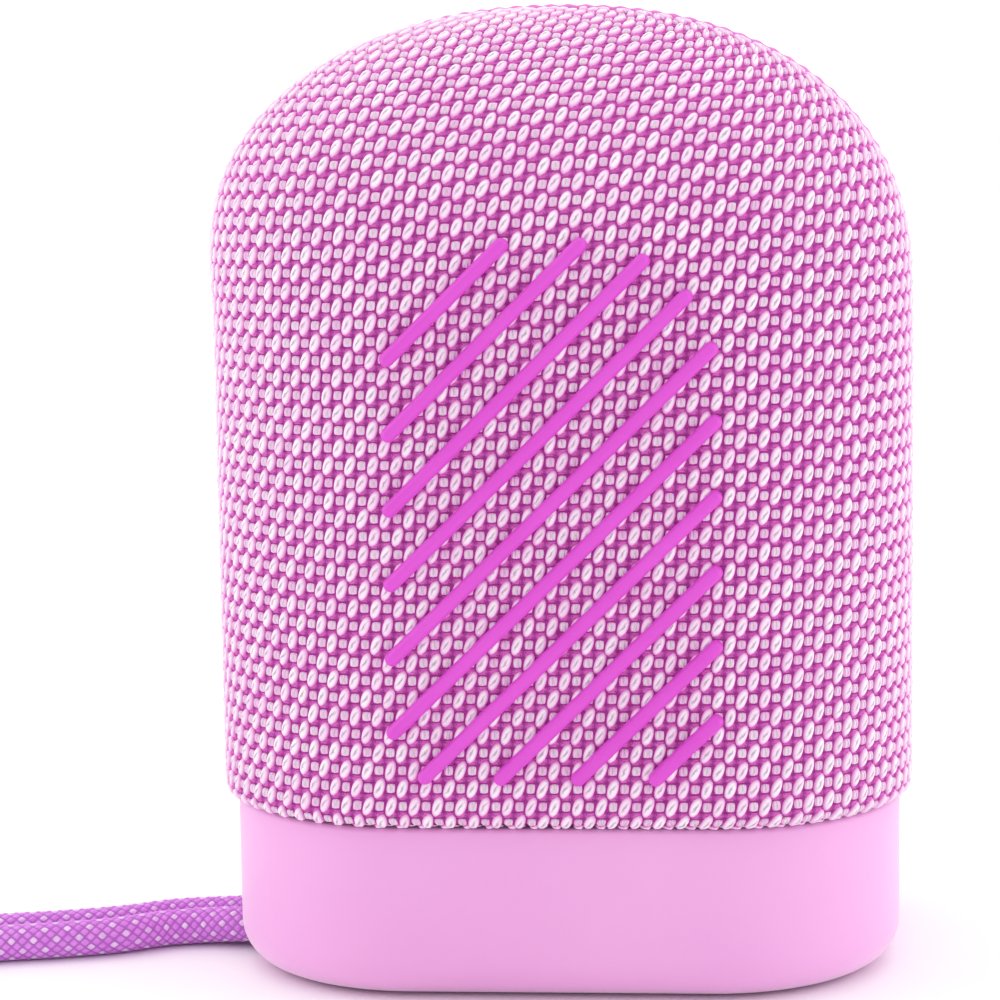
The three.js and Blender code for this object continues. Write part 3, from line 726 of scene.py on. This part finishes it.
def column_shift(v):
    """Sideways drift of the columns, which starts a little below the dome."""
    past = np.clip(v - (WALL_LENGTH - SKEW_START), 0.0, None)
    return COLUMN_SKEW * (np.sqrt(past * past + SKEW_EASE * SKEW_EASE) - SKEW_EASE)


# -------- camera, floor and light

def aim(made, place_mm, target_mm):
    """Puts a camera or a lamp at its place, facing the target."""
    made.location = Vector(place_mm) * MM
    way = (Vector(target_mm) - Vector(place_mm)).normalized()
    made.rotation_mode = "QUATERNION"
    made.rotation_quaternion = way.to_track_quat("-Z", "Y")


def make_camera():
    data = bpy.data.cameras.new("camera")
    data.lens = CAMERA_LENS
    data.sensor_width = 36.0
    data.shift_x, data.shift_y = CAMERA_SHIFT
    data.clip_start, data.clip_end = 0.01, 20.0
    camera = new_object("camera", data)
    azimuth, elevation = math.radians(CAMERA_AZIMUTH), math.radians(CAMERA_ELEVATION)
    place = (
        CAMERA_TARGET[0] + CAMERA_DISTANCE * math.cos(elevation) * math.sin(azimuth),
        CAMERA_TARGET[1] - CAMERA_DISTANCE * math.cos(elevation) * math.cos(azimuth),
        CAMERA_TARGET[2] + CAMERA_DISTANCE * math.sin(elevation),
    )
    aim(camera, place, CAMERA_TARGET)
    roll = Matrix.Rotation(math.radians(CAMERA_ROLL), 4, "Z").to_quaternion()
    camera.rotation_quaternion = camera.rotation_quaternion @ roll.inverted()
    bpy.context.scene.camera = camera


def area_light(name, place_mm, size_mm, power):
    """A rectangular lamp that faces the middle of the speaker."""
    data = bpy.data.lights.new(name, "AREA")
    data.shape = "RECTANGLE"
    data.size, data.size_y = size_mm[0] * MM, size_mm[1] * MM
    data.energy = power
    aim(new_object(name, data), place_mm, CAMERA_TARGET)


def make_studio():
    """A white room, dimmer behind the camera so that the front is modelled softly, and three lights."""
    scene = bpy.context.scene
    scene.view_settings.view_transform = "Standard"
    scene.world = bpy.data.worlds.new("studio")
    scene.world.use_nodes = True
    room = Nodes(scene.world.node_tree)
    background = room.tree.nodes["Background"]
    background.inputs["Color"].default_value = (1.0, 1.0, 1.0, 1.0)
    way = room.axes(room.node("ShaderNodeTexCoord").outputs["Generated"])
    dimmed = room.remap(way["Y"], -1.0, 0.15, FRONT_DIM, ROOM_LIGHT)
    # A band just over the horizon stays white all round, so that the floor has no visible end.
    horizon = room.remap(way["Z"], 0.08, 0.2, ROOM_LIGHT, 0.0)
    room.link(room.math("MAXIMUM", dimmed, horizon), background.inputs["Strength"])
    area_light("left_softbox", (-620.0, -60.0, 260.0), (420.0, 620.0), LEFT_POWER)
    area_light("right_softbox", (620.0, -60.0, 260.0), (420.0, 620.0), RIGHT_POWER)
    area_light("top_softbox", (0.0, 120.0, 700.0), (700.0, 500.0), TOP_POWER)
    paper = Paint("floor_paper", 0.9)
    paper.colour(paper.mix(paper.cloud(60.0), "fbfbfb", "fefefe"))
    corners = [(x * FLOOR_HALF, y * FLOOR_HALF, 0.0) for x, y in ((-1, -1), (1, -1), (1, 1), (-1, 1))]
    mesh_object("floor", corners, [(0, 1, 2, 3)], paper)


# -------- cord

def cord_route():
    """The cord's middle line: out along the front strand, round the loop, back along the rear one."""
    front = CORD_EXIT_Y - CORD_PITCH / 2
    rear = CORD_EXIT_Y + CORD_PITCH / 2
    rest = CORD_RADIUS + 0.02
    return np.array([
        (CORD_END_X, front, CORD_EXIT_Z),
        (-37, front + 0.6, 2.4),
        (-41, front + 0.9, 2.12),
        (-45, front, rest),
        (-50, front - 2.9, rest),
        (-56, front - 4.9, rest),
        (-63, front - 6.6, rest),
        (-74, front - 10.5, rest),
        (-87, front - 16, rest),
        (-102, front - 21.5, rest),
        (-117, front - 24, rest),
        (-131, front - 22.5, rest),
        (-140, front - 16.5, rest),
        (-142, front - 9, rest),
        (-137, front - 3, rest),
        (-127, front - 0.8, rest),
        (-114, front - 2.3, rest),
        (-101, front - 6, rest),
        (-88, front - 8.6, rest),
        (-75, front - 5.9, rest),
        (-64, front - 2, rest),
        (-56, front, rest),
        (-50, front + 2.1, rest),
        (-45, front + 4.8, rest),
        (-41, front + 5.3, 2.15),
        (-37, rear + 0.6, 2.4),
        (CORD_END_X, rear, CORD_EXIT_Z),
    ], float)


def smooth_line(points, step):
    """A centripetal Catmull-Rom curve through points, resampled about every step mm."""
    first = 2 * points[0] - points[1]
    last = 2 * points[-1] - points[-2]
    knots = np.vstack((first, points, last))
    dense = []
    for i in range(1, len(knots) - 2):
        p0, p1, p2, p3 = knots[i - 1:i + 3]
        gaps = [math.sqrt(np.linalg.norm(b - a)) for a, b in ((p0, p1), (p1, p2), (p2, p3))]
        t0, t1 = 0.0, gaps[0]
        t2 = t1 + gaps[1]
        t3 = t2 + gaps[2]
        for t in np.linspace(t1, t2, 24, endpoint=False):
            a1 = (t1 - t) / (t1 - t0) * p0 + (t - t0) / (t1 - t0) * p1
            a2 = (t2 - t) / (t2 - t1) * p1 + (t - t1) / (t2 - t1) * p2
            a3 = (t3 - t) / (t3 - t2) * p2 + (t - t2) / (t3 - t2) * p3
            b1 = (t2 - t) / (t2 - t0) * a1 + (t - t0) / (t2 - t0) * a2
            b2 = (t3 - t) / (t3 - t1) * a2 + (t - t1) / (t3 - t1) * a3
            dense.append((t2 - t) / (t2 - t1) * b1 + (t - t1) / (t2 - t1) * b2)
    dense.append(points[-1])
    dense = np.array(dense)
    run = run_along(dense)
    steps = max(2, int(round(run[-1] / step)))
    line, _ = resampled(dense, run, steps + 1)
    return line, float(run[-1])


def braid(stations, sides):
    """For each point round and along the cord: how high a strand stands there, and whether it is pale."""
    travel = np.arange(stations)[:, None] * BRAID_LAY / 4
    turn = np.arange(sides)[None, :] / sides
    # Two families of strands cross. Where the cell numbers add up to even, the first is on top.
    first = BRAID_STRANDS * turn + travel / (2 * BRAID_LAY)
    second = BRAID_STRANDS * turn - travel / (2 * BRAID_LAY)
    cell_first, cell_second = np.floor(first + 0.5 - 1e-6), np.floor(second + 0.5 - 1e-6)
    on_top = (cell_first + cell_second) % 2 == 0
    pale = on_top & (cell_first % 2 == 0)
    fall_first = np.maximum(np.cos(math.pi * (first - cell_first)), 0.0)
    fall_second = np.maximum(np.cos(math.pi * (second - cell_second)), 0.0)
    return (fall_first * fall_second) ** BRAID_FULLNESS, pale


def make_cord():
    """The braided cord. Its points step by an eighth of a cell, so that the cells' edges fall on them."""
    line, length = smooth_line(cord_route(), BRAID_LAY / 4)
    stations, sides = len(line), 8 * BRAID_STRANDS
    forward = directions(line)
    right = np.cross(forward, np.array([0.0, 0.0, 1.0]))
    right /= np.linalg.norm(right, axis=1, keepdims=True)
    up = np.cross(right, forward)
    crown, pale = braid(stations, sides)
    radius = CORD_RADIUS - BRAID_RELIEF + BRAID_RELIEF * crown
    angle = 2 * math.pi * np.arange(sides)[None, :] / sides
    points = tube(line, radius, angle, up[:, None, :], right[:, None, :])
    # Only every other point is kept, so that the faces are diamonds whose edges follow the strands.
    row, column = np.meshgrid(np.arange(1, stations - 1), np.arange(sides), indexing="ij")
    centre = (row + column) % 2 == 1
    row, column = row[centre], column[centre]
    quads = np.stack((
        (row - 1) * sides + column,
        row * sides + (column + 1) % sides,
        (row + 1) * sides + column,
        row * sides + (column - 1) % sides,
    ), axis=-1)
    kept = ((np.arange(stations)[:, None] + np.arange(sides)[None, :]) % 2 == 0).ravel()
    number = np.cumsum(kept) - 1
    made = grid_object("lanyard_braid", points.reshape(-1, 3)[kept], number[quads], CORD_BRAID)
    colour = made.data.color_attributes.new("braid", "FLOAT_COLOR", "CORNER")
    values = np.ones((len(quads), 4, 4), np.float32)
    values[..., 0] = pale[row, column][:, None]
    values[..., 1] = crown.ravel()[quads]
    colour.data.foreach_set("color", values.ravel())
    outward(made, close=True)
    root(made, "cord_braid", "lanyard_cord")


# -------- weave

def crown_template(sides, rings, squareness, lean):
    """A yarn crown's points as (across, along, height), each about 1 at most, and its triangles."""
    points = []
    for reach, height in rings:
        for step in range(sides):
            angle = 2 * math.pi * (step + 0.5) / sides
            c, s = math.cos(angle), math.sin(angle)
            stretch = (abs(c) ** squareness + abs(s) ** squareness) ** (-1 / squareness)
            across, along = reach * stretch * c, reach * stretch * s
            points.append((across + lean * along, along, height))
    points.append((0.0, 0.0, 1.0))
    triangles = []
    for ring_number in range(len(rings) - 1):
        for step in range(sides):
            following = (step + 1) % sides
            a, b = ring_number * sides + step, ring_number * sides + following
            c, d = a + sides, b + sides
            triangles += [(a, b, d), (a, d, c)]
    top = len(points) - 1
    inner = (len(rings) - 1) * sides
    for step in range(sides):
        triangles.append((inner + step, inner + (step + 1) % sides, top))
    for step in range(1, sides - 1):
        triangles.append((0, step + 1, step))
    return np.array(points), np.array(triangles)


WARP_TEMPLATE = crown_template(14, ((1.0, -0.35), (0.96, 0.25), (0.68, 0.8)), 2.4, WARP_LEAN)
WEFT_TEMPLATE = crown_template(12, ((1.0, -0.6), (0.93, 0.35), (0.6, 0.85)), 5.0, WEFT_LEAN)


def give_tone_or_gap_shade(made, values):
    """One number for each point, which the yarn materials read: a crown's random tone, or how near a weft
    thread is to a column, for its painted shade.
    """
    tone_or_gap_shade = made.data.attributes.new("tone_or_gap_shade", "FLOAT", "POINT")
    tone_or_gap_shade.data.foreach_set("value", values.astype(np.float32))


def crown_cells(back):
    """Centres of the crowns on one half, as s, v and whether the warp is on top."""
    column, row = np.meshgrid(np.arange(-60, 61), ROWS)
    v_middle = (row + 0.5) * ROW_PITCH
    s = column * COLUMN_PITCH + column_shift(v_middle)
    v = v_middle + row_rise(s, v_middle)
    scale, _, _ = up_profile(v)
    inside = (np.abs(s) <= QUARTER * scale + 0.05) & (v < FULL_LENGTH - 0.4)
    on_top = (column + row + (COLUMN_COUNT // 2 if back else 0)) % 2 == 0
    return s[inside], v[inside], on_top[inside]


def make_crowns(name, back, warp, seed):
    """The warp or weft crowns of one half of the sleeve, each a little different."""
    s, v, on_top = crown_cells(back)
    chosen = on_top if warp else ~on_top
    s, v = s[chosen], v[chosen]
    template, triangles = WARP_TEMPLATE if warp else WEFT_TEMPLATE
    half_across, half_along = WARP_HALF if warp else WEFT_HALF
    top = CROWN_HEIGHT if warp else WEFT_HEIGHT
    random = np.random.default_rng(seed)
    size = 1 + random.uniform(-SIZE_SPREAD, SIZE_SPREAD, (len(s), 2))
    turn = random.uniform(-TURN_SPREAD, TURN_SPREAD, len(s))
    tone_or_gap_shade = random.uniform(0.0, 1.0, len(s))
    across = half_across * size[:, :1] * template[None, :, 0]
    along = half_along * size[:, 1:] * template[None, :, 1]
    # On the dome the columns drift, and each crown leans with its own column.
    drift = (column_shift(v + 0.5) - column_shift(v - 0.5))[:, None]
    points = on_body(
        s[:, None] + across + along * (drift + turn[:, None]),
        v[:, None] + along,
        template[None, :, 2] * top + GROUND_LIFT,
        back,
    )
    count = len(template)
    start = (np.arange(len(s)) * count)[:, None, None]
    faces = (triangles[None, :, :] + start).reshape(-1, 3)
    made = grid_object(name, points.reshape(-1, 3), faces, WARP_YARN if warp else WEFT_YARN)
    plain = template[:, :2].copy()
    plain[:, 0] -= (WARP_LEAN if warp else WEFT_LEAN) * plain[:, 1]
    local = np.tile(plain * 0.5 + 0.5, (len(s), 1))
    layer = made.data.uv_layers.new(name="crown")
    corner = np.empty(len(made.data.loops), np.int32)
    made.data.loops.foreach_get("vertex_index", corner)
    layer.data.foreach_set("uv", local[corner].astype(np.float32).ravel())
    give_tone_or_gap_shade(made, np.repeat(tone_or_gap_shade, count))
    root(made, "woven_fabric")


def make_ground():
    """The cloth under the crowns: one closed shell from the turned-in hem to the top."""
    per_half = 180
    share = np.linspace(-1.0, 1.0, per_half, endpoint=False)
    lowest = -(HEM_QUARTER + HEM_TURN_IN)
    heights = np.concatenate((
        np.linspace(lowest, 0.0, 9),
        np.linspace(0.0, WALL_LENGTH, 24)[1:],
        np.linspace(WALL_LENGTH, FULL_LENGTH, 42)[1:-1],
    ))

    def whole_ring(v, lift):
        scale, _, _ = up_profile(v)
        s = share * QUARTER * scale
        level = np.full_like(s, v)
        return np.vstack((on_body(s, level, lift), on_body(s, level, lift, True)))

    outer = [whole_ring(v, GROUND_LIFT) for v in heights]
    inner = [whole_ring(v, GROUND_LIFT - CLOTH_THICKNESS) for v in heights[::-1]]
    points, faces = skin(outer + inner)
    # The faces between the two top rings and the skin's own caps go. The top rings are closed on
    # their own, and the two ends of the skin are joined at the hem.
    count = len(outer[0])
    top_outer, top_inner = (len(outer) - 1) * count, len(outer) * count
    kept = [f for f in faces if len(f) == 4 and not (min(f) >= top_outer and max(f) < top_inner + count)]
    kept.append(tuple(top_outer + i for i in range(count)))
    kept.append(tuple(top_inner + i for i in reversed(range(count))))
    last = (len(outer) + len(inner) - 1) * count
    for column in range(count):
        following = (column + 1) % count
        kept.append((last + column, last + following, following, column))
    made = outward(mesh_object("sleeve_ground", points, kept, GROUND_CLOTH, 60.0))
    root(made, "woven_fabric", "fabric_sleeve")


def make_weft_threads(name, back):
    """The level yarns between the rows of crowns, waving in and out once for each column."""
    # a thread's section, as height up the wall in mm and share of its crest
    section = np.array([(-0.34, -0.5), (-0.27, 0.45), (0.0, 1.0), (0.27, 0.45), (0.34, -0.5)])
    smallest_scale = 0.08
    corners = len(section)
    all_points, all_faces, all_gap_shades, start = [], [], [], 0
    for row in ROWS:
        v0 = row * ROW_PITCH
        scale = float(up_profile(v0)[0])
        if scale < smallest_scale:
            continue
        reach = QUARTER * scale
        shift = float(column_shift(v0))
        first = math.ceil((-reach - shift) / HALF_COLUMN)
        last = math.floor((reach - shift) / HALF_COLUMN)
        inner = np.arange(first, last + 1) * HALF_COLUMN + shift
        s = np.concatenate(([-reach], inner, [reach]))
        v = v0 + row_rise(s, v0)
        wave = np.cos(2 * math.pi * (s - shift) / COLUMN_PITCH)
        crest = THREAD_TOP + THREAD_WAVE * wave
        lift = GROUND_LIFT + crest[:, None] * section[None, :, 1]
        points = on_body(
            np.broadcast_to(s[:, None], lift.shape),
            v[:, None] + section[None, :, 0] * np.minimum(1.0, 0.4 + scale),
            lift,
            back,
        )
        along = np.arange(len(s) - 1)[:, None] * corners
        side = np.arange(corners)[None, :]
        following = (side + 1) % corners
        faces = np.stack((
            along + side,
            along + corners + side,
            along + corners + following,
            along + following,
        ), axis=-1)
        all_points.append(points.reshape(-1, 3))
        all_faces.append(faces.reshape(-1, 4) + start)
        # How near each point is to a column, from which the thread's material paints shade between the
        # columns.
        all_gap_shades.append(np.repeat(0.5 + 0.5 * wave, corners))
        start += len(s) * corners
    made = grid_object(name, np.vstack(all_points), np.vstack(all_faces), GROUND_YARN)
    give_tone_or_gap_shade(made, np.concatenate(all_gap_shades))
    root(made, "woven_fabric")


# -------- ribs

def front_coordinates(x, z):
    """Arc length and height up the body of the front surface's point at (x, z)."""
    table_v = np.linspace(0.0, FULL_LENGTH - 0.01, 4000)
    table_scale, _, table_z = up_profile(table_v)
    v = np.interp(z, table_z, table_v)
    scale = np.interp(z, table_z, table_scale)
    flat = (BODY_HALF_W - BODY_CORNER) * scale
    corner = BODY_CORNER * scale
    past = np.clip((np.abs(x) - flat) / corner, 0.0, 1.0)
    s = np.sign(x) * (np.minimum(np.abs(x), flat) + corner * np.arcsin(past))
    return s, v


def on_front(spots, lifts):
    """Points on the front over the (x, z) in spots, lifted off the frame's sleeve."""
    flat = spots.reshape(-1, 2)
    s, v = front_coordinates(flat[:, 0] + cloth_pull(flat[:, 1]), flat[:, 1])
    return on_body(s, v, lifts.ravel())


def make_rib(number):
    """One rib, from the frame's rib of that number: a satin bar with round ends, set on the cloth."""
    node = f"rib_{number:02d}"
    low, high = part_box(node)
    radius = RIB_WIDTH / 2
    tip = radius - RIB_OVERLAP
    start = np.array([low.x / MM + tip, low.z / MM + tip])
    end = np.array([high.x / MM - tip, high.z / MM - tip])
    length = float(np.linalg.norm(end - start))
    way = (end - start) / length
    across = np.array([-way[1], way[0]])
    cap = radius * (1 - np.cos(np.linspace(0.0, math.pi / 2, 9)))
    middle = np.linspace(radius, length + radius, max(8, int(length / 0.6)))[1:-1]
    stations = np.concatenate((cap, middle, length + 2 * radius - cap[::-1]))
    lanes = np.sin(np.linspace(-math.pi / 2, math.pi / 2, 13))
    spots, tops = [], []
    for station in stations:
        from_cap = max(radius - station, station - (length + radius), 0.0)
        lateral = lanes * math.sqrt(max(radius ** 2 - from_cap ** 2, 0.0))
        edge = radius - np.hypot(lateral, from_cap)
        round_off = 1 - np.clip(edge / RIB_BEVEL, 0.0, 1.0)
        camber = 1 - RIB_CAMBER * (lateral / radius) ** 2
        tops.append(RIB_LIFT + RIB_PROUD * np.sqrt(1 - round_off ** 2) * camber)
        spots.append(start + way * (station - radius) + across * lateral[:, None])
    spots, tops = np.array(spots), np.array(tops)
    upper = on_front(spots, tops)
    lower = on_front(spots, np.full_like(tops, -RIB_SUNK))
    count = len(lanes)
    total = len(stations) * count
    faces = []
    for row in range(len(stations) - 1):
        for lane in range(count - 1):
            a = row * count + lane
            faces.append((a, a + 1, a + count + 1, a + count))
            faces.append((total + a, total + a + count, total + a + count + 1, total + a + 1))
        for lane in (0, count - 1):
            a = row * count + lane
            faces.append((a, a + count, total + a + count, total + a))
    made = mesh_object(f"{node}_bar", np.vstack((upper, lower)), faces, RIB_RUBBER, 0.0)
    outward(made, weld=1e-7)
    made.data.set_sharp_from_angle(angle=math.radians(50.0))
    root(made, "rib_rubber", node)


# -------- base

def base_ring(inset, z):
    """The base's outline at height z, set in from its widest."""
    half_w, half_d = BASE_HALF_W - inset, BASE_HALF_D - inset
    loop = rounded_loop(half_w, half_d, max(BASE_CORNER - inset, 0.5), 24, 6)
    return np.column_stack((loop, np.full(len(loop), z)))


def block(name, x_range, y_range, z_range, corner=0.4):
    """A cutter: a box whose edges along y are rounded."""
    (x0, x1), (z0, z1) = x_range, z_range
    loop = rounded_loop((x1 - x0) / 2, (z1 - z0) / 2, corner, 6)
    points, faces = skin([upright(loop, (x0 + x1) / 2, y, (z0 + z1) / 2) for y in y_range])
    return outward(mesh_object(name, points, faces, SOFT_TOUCH))


def base_cutters():
    """The openings for the buttons, the flap, the port and the cord's eyelet."""
    rear = BASE_HALF_D
    through = (rear - CUT_THROUGH, rear + CUT_BEYOND)
    recess = (rear - RECESS_DEPTH, rear + CUT_BEYOND)
    button_z = (BUTTON_Z - BUTTON_CUT_HALF_H, BUTTON_Z + BUTTON_CUT_HALF_H)
    cutters = []
    for number, x in enumerate(BUTTON_X):
        button_x = (x - BUTTON_CUT_HALF_W, x + BUTTON_CUT_HALF_W)
        cutters.append(block(f"cut_{number}", button_x, through, button_z, 1.3))
    cutters.append(block("cut_recess", (-RECESS_HALF_W, RECESS_HALF_W), recess, RECESS_Z, 1.2))
    cutters.append(block("cut_port", (-PORT_HALF_W, PORT_HALF_W), through, PORT_Z, 1.0))
    low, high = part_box("lanyard_eyelet")
    gap = 0.3
    channel_x = (-40.0, high.x / MM + gap)
    channel_y = (low.y / MM - gap, high.y / MM + gap)
    cutters.append(block("cut_channel", channel_x, channel_y, (-1.0, high.z / MM + gap)))
    return cutters


def make_base():
    """The soft-touch shell: wall, rounded edges, open below, with its rear and side openings."""
    rings = [base_ring(DECK_OPENING, BASE_TOP), base_ring(2.0, BASE_TOP), base_ring(BASE_TOP_EDGE, BASE_TOP)]
    for degrees in (20, 45, 70, 90):
        turn = math.radians(degrees)
        rings.append(base_ring(
            BASE_TOP_EDGE * (1 - math.sin(turn)), BASE_TOP - BASE_TOP_EDGE * (1 - math.cos(turn))))
    for z in np.linspace(BASE_TOP - 1.5, BASE_BOTTOM + BASE_FILLET + 0.5, 8):
        rings.append(base_ring(0.0, z))
    for degrees in np.linspace(0.0, 90.0, 13):
        turn = math.radians(degrees)
        rings.append(base_ring(
            BASE_FILLET * (1 - math.cos(turn)), BASE_BOTTOM + BASE_FILLET * (1 - math.sin(turn))))
    rings += [
        base_ring(BASE_FILLET + RIM_WIDTH, BASE_BOTTOM),
        base_ring(BASE_FILLET + RIM_WIDTH, RIM_TOP),
        base_ring(BASE_WALL + FOOT_WIDTH, RIM_TOP),
        base_ring(BASE_WALL, FOOT_TOP),
        base_ring(BASE_WALL, DECK_UNDERSIDE),
        base_ring(DECK_OPENING, DECK_UNDERSIDE),
    ]
    points, faces = skin(rings, wrap=True)
    made = outward(mesh_object("base_body", points, faces, SOFT_TOUCH))
    cut(made, base_cutters())
    made.data.set_sharp_from_angle(angle=math.radians(35.0))
    root(made, "soft_touch_plastic", "base_shell")


# -------- rear buttons, flap and seam

def rear_pad(name, centre_x, centre_z, profile, corner_share=0.9):
    """A rounded pad on the rear face. profile holds (half width, half height, y) from inside to outside."""
    rings = []
    for half_w, half_h, y in profile:
        loop = rounded_loop(half_w, half_h, min(half_w, half_h) * corner_share, 10, 3)
        rings.append(upright(loop, centre_x, y, centre_z))
    points, faces = skin(rings)
    return outward(mesh_object(name, points, faces, PINK_RUBBER, 35.0))


def ride_rubber(made, body, stands_for_it=False):
    """made is rubber on a moving body, and may stand for that body's own CAD node."""
    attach(made, body)
    if stands_for_it:
        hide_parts(body)


def raised_mark(name, outline, centre_x, centre_z, y, body):
    """A flat mark moulded on the rear, drawn as seen from behind: outline points are (right, up)."""
    rings = []
    for share, depth in ((1.0, -0.25), (1.0, 0.0), (0.86, 0.05)):
        rings.append(np.array([
            (centre_x - share * right, y + depth, centre_z + share * up) for right, up in outline]))
    points, faces = skin(rings)
    ride_rubber(outward(mesh_object(name, points, faces, MARK_INK, 30.0)), body)


def bar_outline(half_length, half_width, upright_bar=False):
    outline = rounded_loop(half_length, half_width, half_width * 0.95, 5)
    return [(b, a) if upright_bar else (a, b) for a, b in outline]


def plus_outline(arm, half):
    corners = []
    for quarter in range(4):
        turn = quarter * math.pi / 2
        for a, b in ((arm, -half), (arm, half), (half, half)):
            corners.append((a * math.cos(turn) - b * math.sin(turn), a * math.sin(turn) + b * math.cos(turn)))
    return corners


def ring_mark(name, centre_x, centre_z, y, body):
    """The open ring of the power mark, as a bent bar."""
    section = ((0.78, -0.25), (0.75, 0.04), (0.57, 0.04), (0.54, -0.25))
    turns = np.radians(np.linspace(125.0, 415.0, 26))
    points, faces = [], []
    for turn in turns:
        for reach, depth in section:
            x, z = centre_x - reach * math.cos(turn), centre_z + reach * math.sin(turn)
            points.append((x, y + depth, z))
    for step in range(len(turns) - 1):
        for side in range(4):
            a, b = step * 4 + side, step * 4 + (side + 1) % 4
            faces.append((a, b, b + 4, a + 4))
    faces.append((0, 1, 2, 3))
    faces.append(tuple(len(points) - 4 + i for i in (3, 2, 1, 0)))
    ride_rubber(outward(mesh_object(name, points, faces, MARK_INK, 30.0)), body)


# each button's mark, its outline and how far above the button's middle it lies
MARKS = {
    "power_button": ("power_mark_bar", bar_outline(0.34, 0.1, True), 0.55),
    "volume_down_button": ("minus_mark", bar_outline(0.7, 0.13), 0.0),
    "play_button": ("play_mark", [(-0.45, -0.62), (0.7, 0.0), (-0.45, 0.62)], 0.0),
    "volume_up_button": ("plus_mark", plus_outline(0.7, 0.13), 0.0),
}


def make_buttons():
    """Each button's cap, on its stem behind the wall, and the mark moulded on it."""
    rear = BASE_HALF_D
    for node, (mark, outline, rise) in MARKS.items():
        low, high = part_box(node)
        x = (low.x + high.x) / 2 / MM
        face = high.y / MM
        profile = (
            (1.0, 0.8, low.y / MM),
            (1.0, 0.8, rear - 2.0),
            (2.1, 1.2, rear - 1.9),
            (2.3, 1.4, rear - 1.7),
            (2.3, 1.4, face - 0.3),
            (2.24, 1.34, face - 0.14),
            (2.08, 1.18, face - 0.03),
            (1.8, 0.95, face),
            (1.0, 0.5, face + 0.01),
        )
        ride_rubber(rear_pad(f"{node}_cap", x, BUTTON_Z, profile), node, True)
        if node == "power_button":
            ring_mark("power_mark_ring", x, BUTTON_Z, face, node)
        raised_mark(mark, outline, x, BUTTON_Z + rise, face, node)


def make_flap():
    """The rubber door, softly rounded, with a finger lip along its upper edge."""
    low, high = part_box("port_flap")
    z = (low.z + high.z) / 2 / MM
    half_w, half_h = (high.x - low.x) / 2 / MM, (high.z - low.z) / 2 / MM
    inner, outer = low.y / MM, high.y / MM
    door = (
        (half_w - 0.25, half_h - 0.25, inner),
        (half_w, half_h, inner + 0.2),
        (half_w, half_h, outer - 0.25),
        (half_w - 0.1, half_h - 0.1, outer - 0.07),
        (half_w - 0.35, half_h - 0.35, outer),
        (half_w - 2.0, half_h - 1.5, outer + 0.03),
    )
    ride_rubber(rear_pad("port_flap_door", 0.0, z, door, 0.42), "port_flap", True)
    lip = (
        (2.4, 0.34, outer - 0.2),
        (2.4, 0.34, outer + 0.2),
        (2.25, 0.2, outer + 0.34),
        (1.9, 0.1, outer + 0.38),
    )
    ride_rubber(rear_pad("port_flap_lip", 0.0, z + half_h - 0.75, lip), "port_flap")


def make_seam():
    """The sewn seam that joins the front and back panels over the dome, in small stitches."""
    half = np.linspace(0.0, FULL_LENGTH - 0.02, 2600)
    half = half[half > WALL_LENGTH - SEAM_DOWN]
    scale, _, _ = up_profile(half)
    right_side = on_body(QUARTER * scale, half, CLOTH_LIFT - SEAM_SUNK)
    left_side = on_body(-QUARTER * scale, half, CLOTH_LIFT - SEAM_SUNK)
    line = np.vstack((left_side, right_side[::-1]))
    line[:, 1] = 0.0
    run = run_along(line)
    line, travel = resampled(line, run, int(run[-1] / SEAM_STEP))
    sideways = np.array([0.0, 1.0, 0.0])
    out = np.cross(sideways, directions(line))
    turn = np.linspace(0.0, 2 * math.pi, 10, endpoint=False)[None, :]
    # The phase runs ahead on one side, so that the stitches lie aslant.
    stitch = 0.5 + 0.5 * np.cos(2 * math.pi * travel[:, None] / STITCH_LENGTH + 0.8 * np.sin(turn))
    end_fade = np.clip(np.minimum(travel, run[-1] - travel) / SEAM_FADE, 0.05, 1.0)[:, None]
    radius = (SEAM_RADIUS + STITCH_RELIEF * stitch) * end_fade
    points = tube(line, radius, turn, out[:, None, :], SEAM_WIDENING * sideways)
    corners, faces = skin(list(points))
    made = outward(mesh_object("sleeve_seam", corners, faces, SEAM_YARN, 0.0))
    root(made, "woven_fabric")


# -------- everything

def dress_cad_nodes():
    """Every CAD node still shown gets its slot's procedural material."""
    slots = {part["node"]: part["material_slot"] for part in frame["record"]["subparts"]}
    for name, node in frame["nodes"].items():
        if node.hide_render:
            continue
        node.data.materials.clear()
        node.data.materials.append(SLOT_PAINTS[slots[name]].material)


make_camera()
make_studio()
make_cord()
make_ground()
for panel, seed in (("front", 11), ("back", 23)):
    behind = panel == "back"
    make_crowns(f"warp_crowns_{panel}", behind, True, seed)
    make_crowns(f"weft_crowns_{panel}", behind, False, seed + 1)
    make_weft_threads(f"weft_threads_{panel}", behind)
for number in range(1, 11):
    make_rib(number)
make_base()
make_buttons()
make_flap()
make_seam()
dress_cad_nodes()
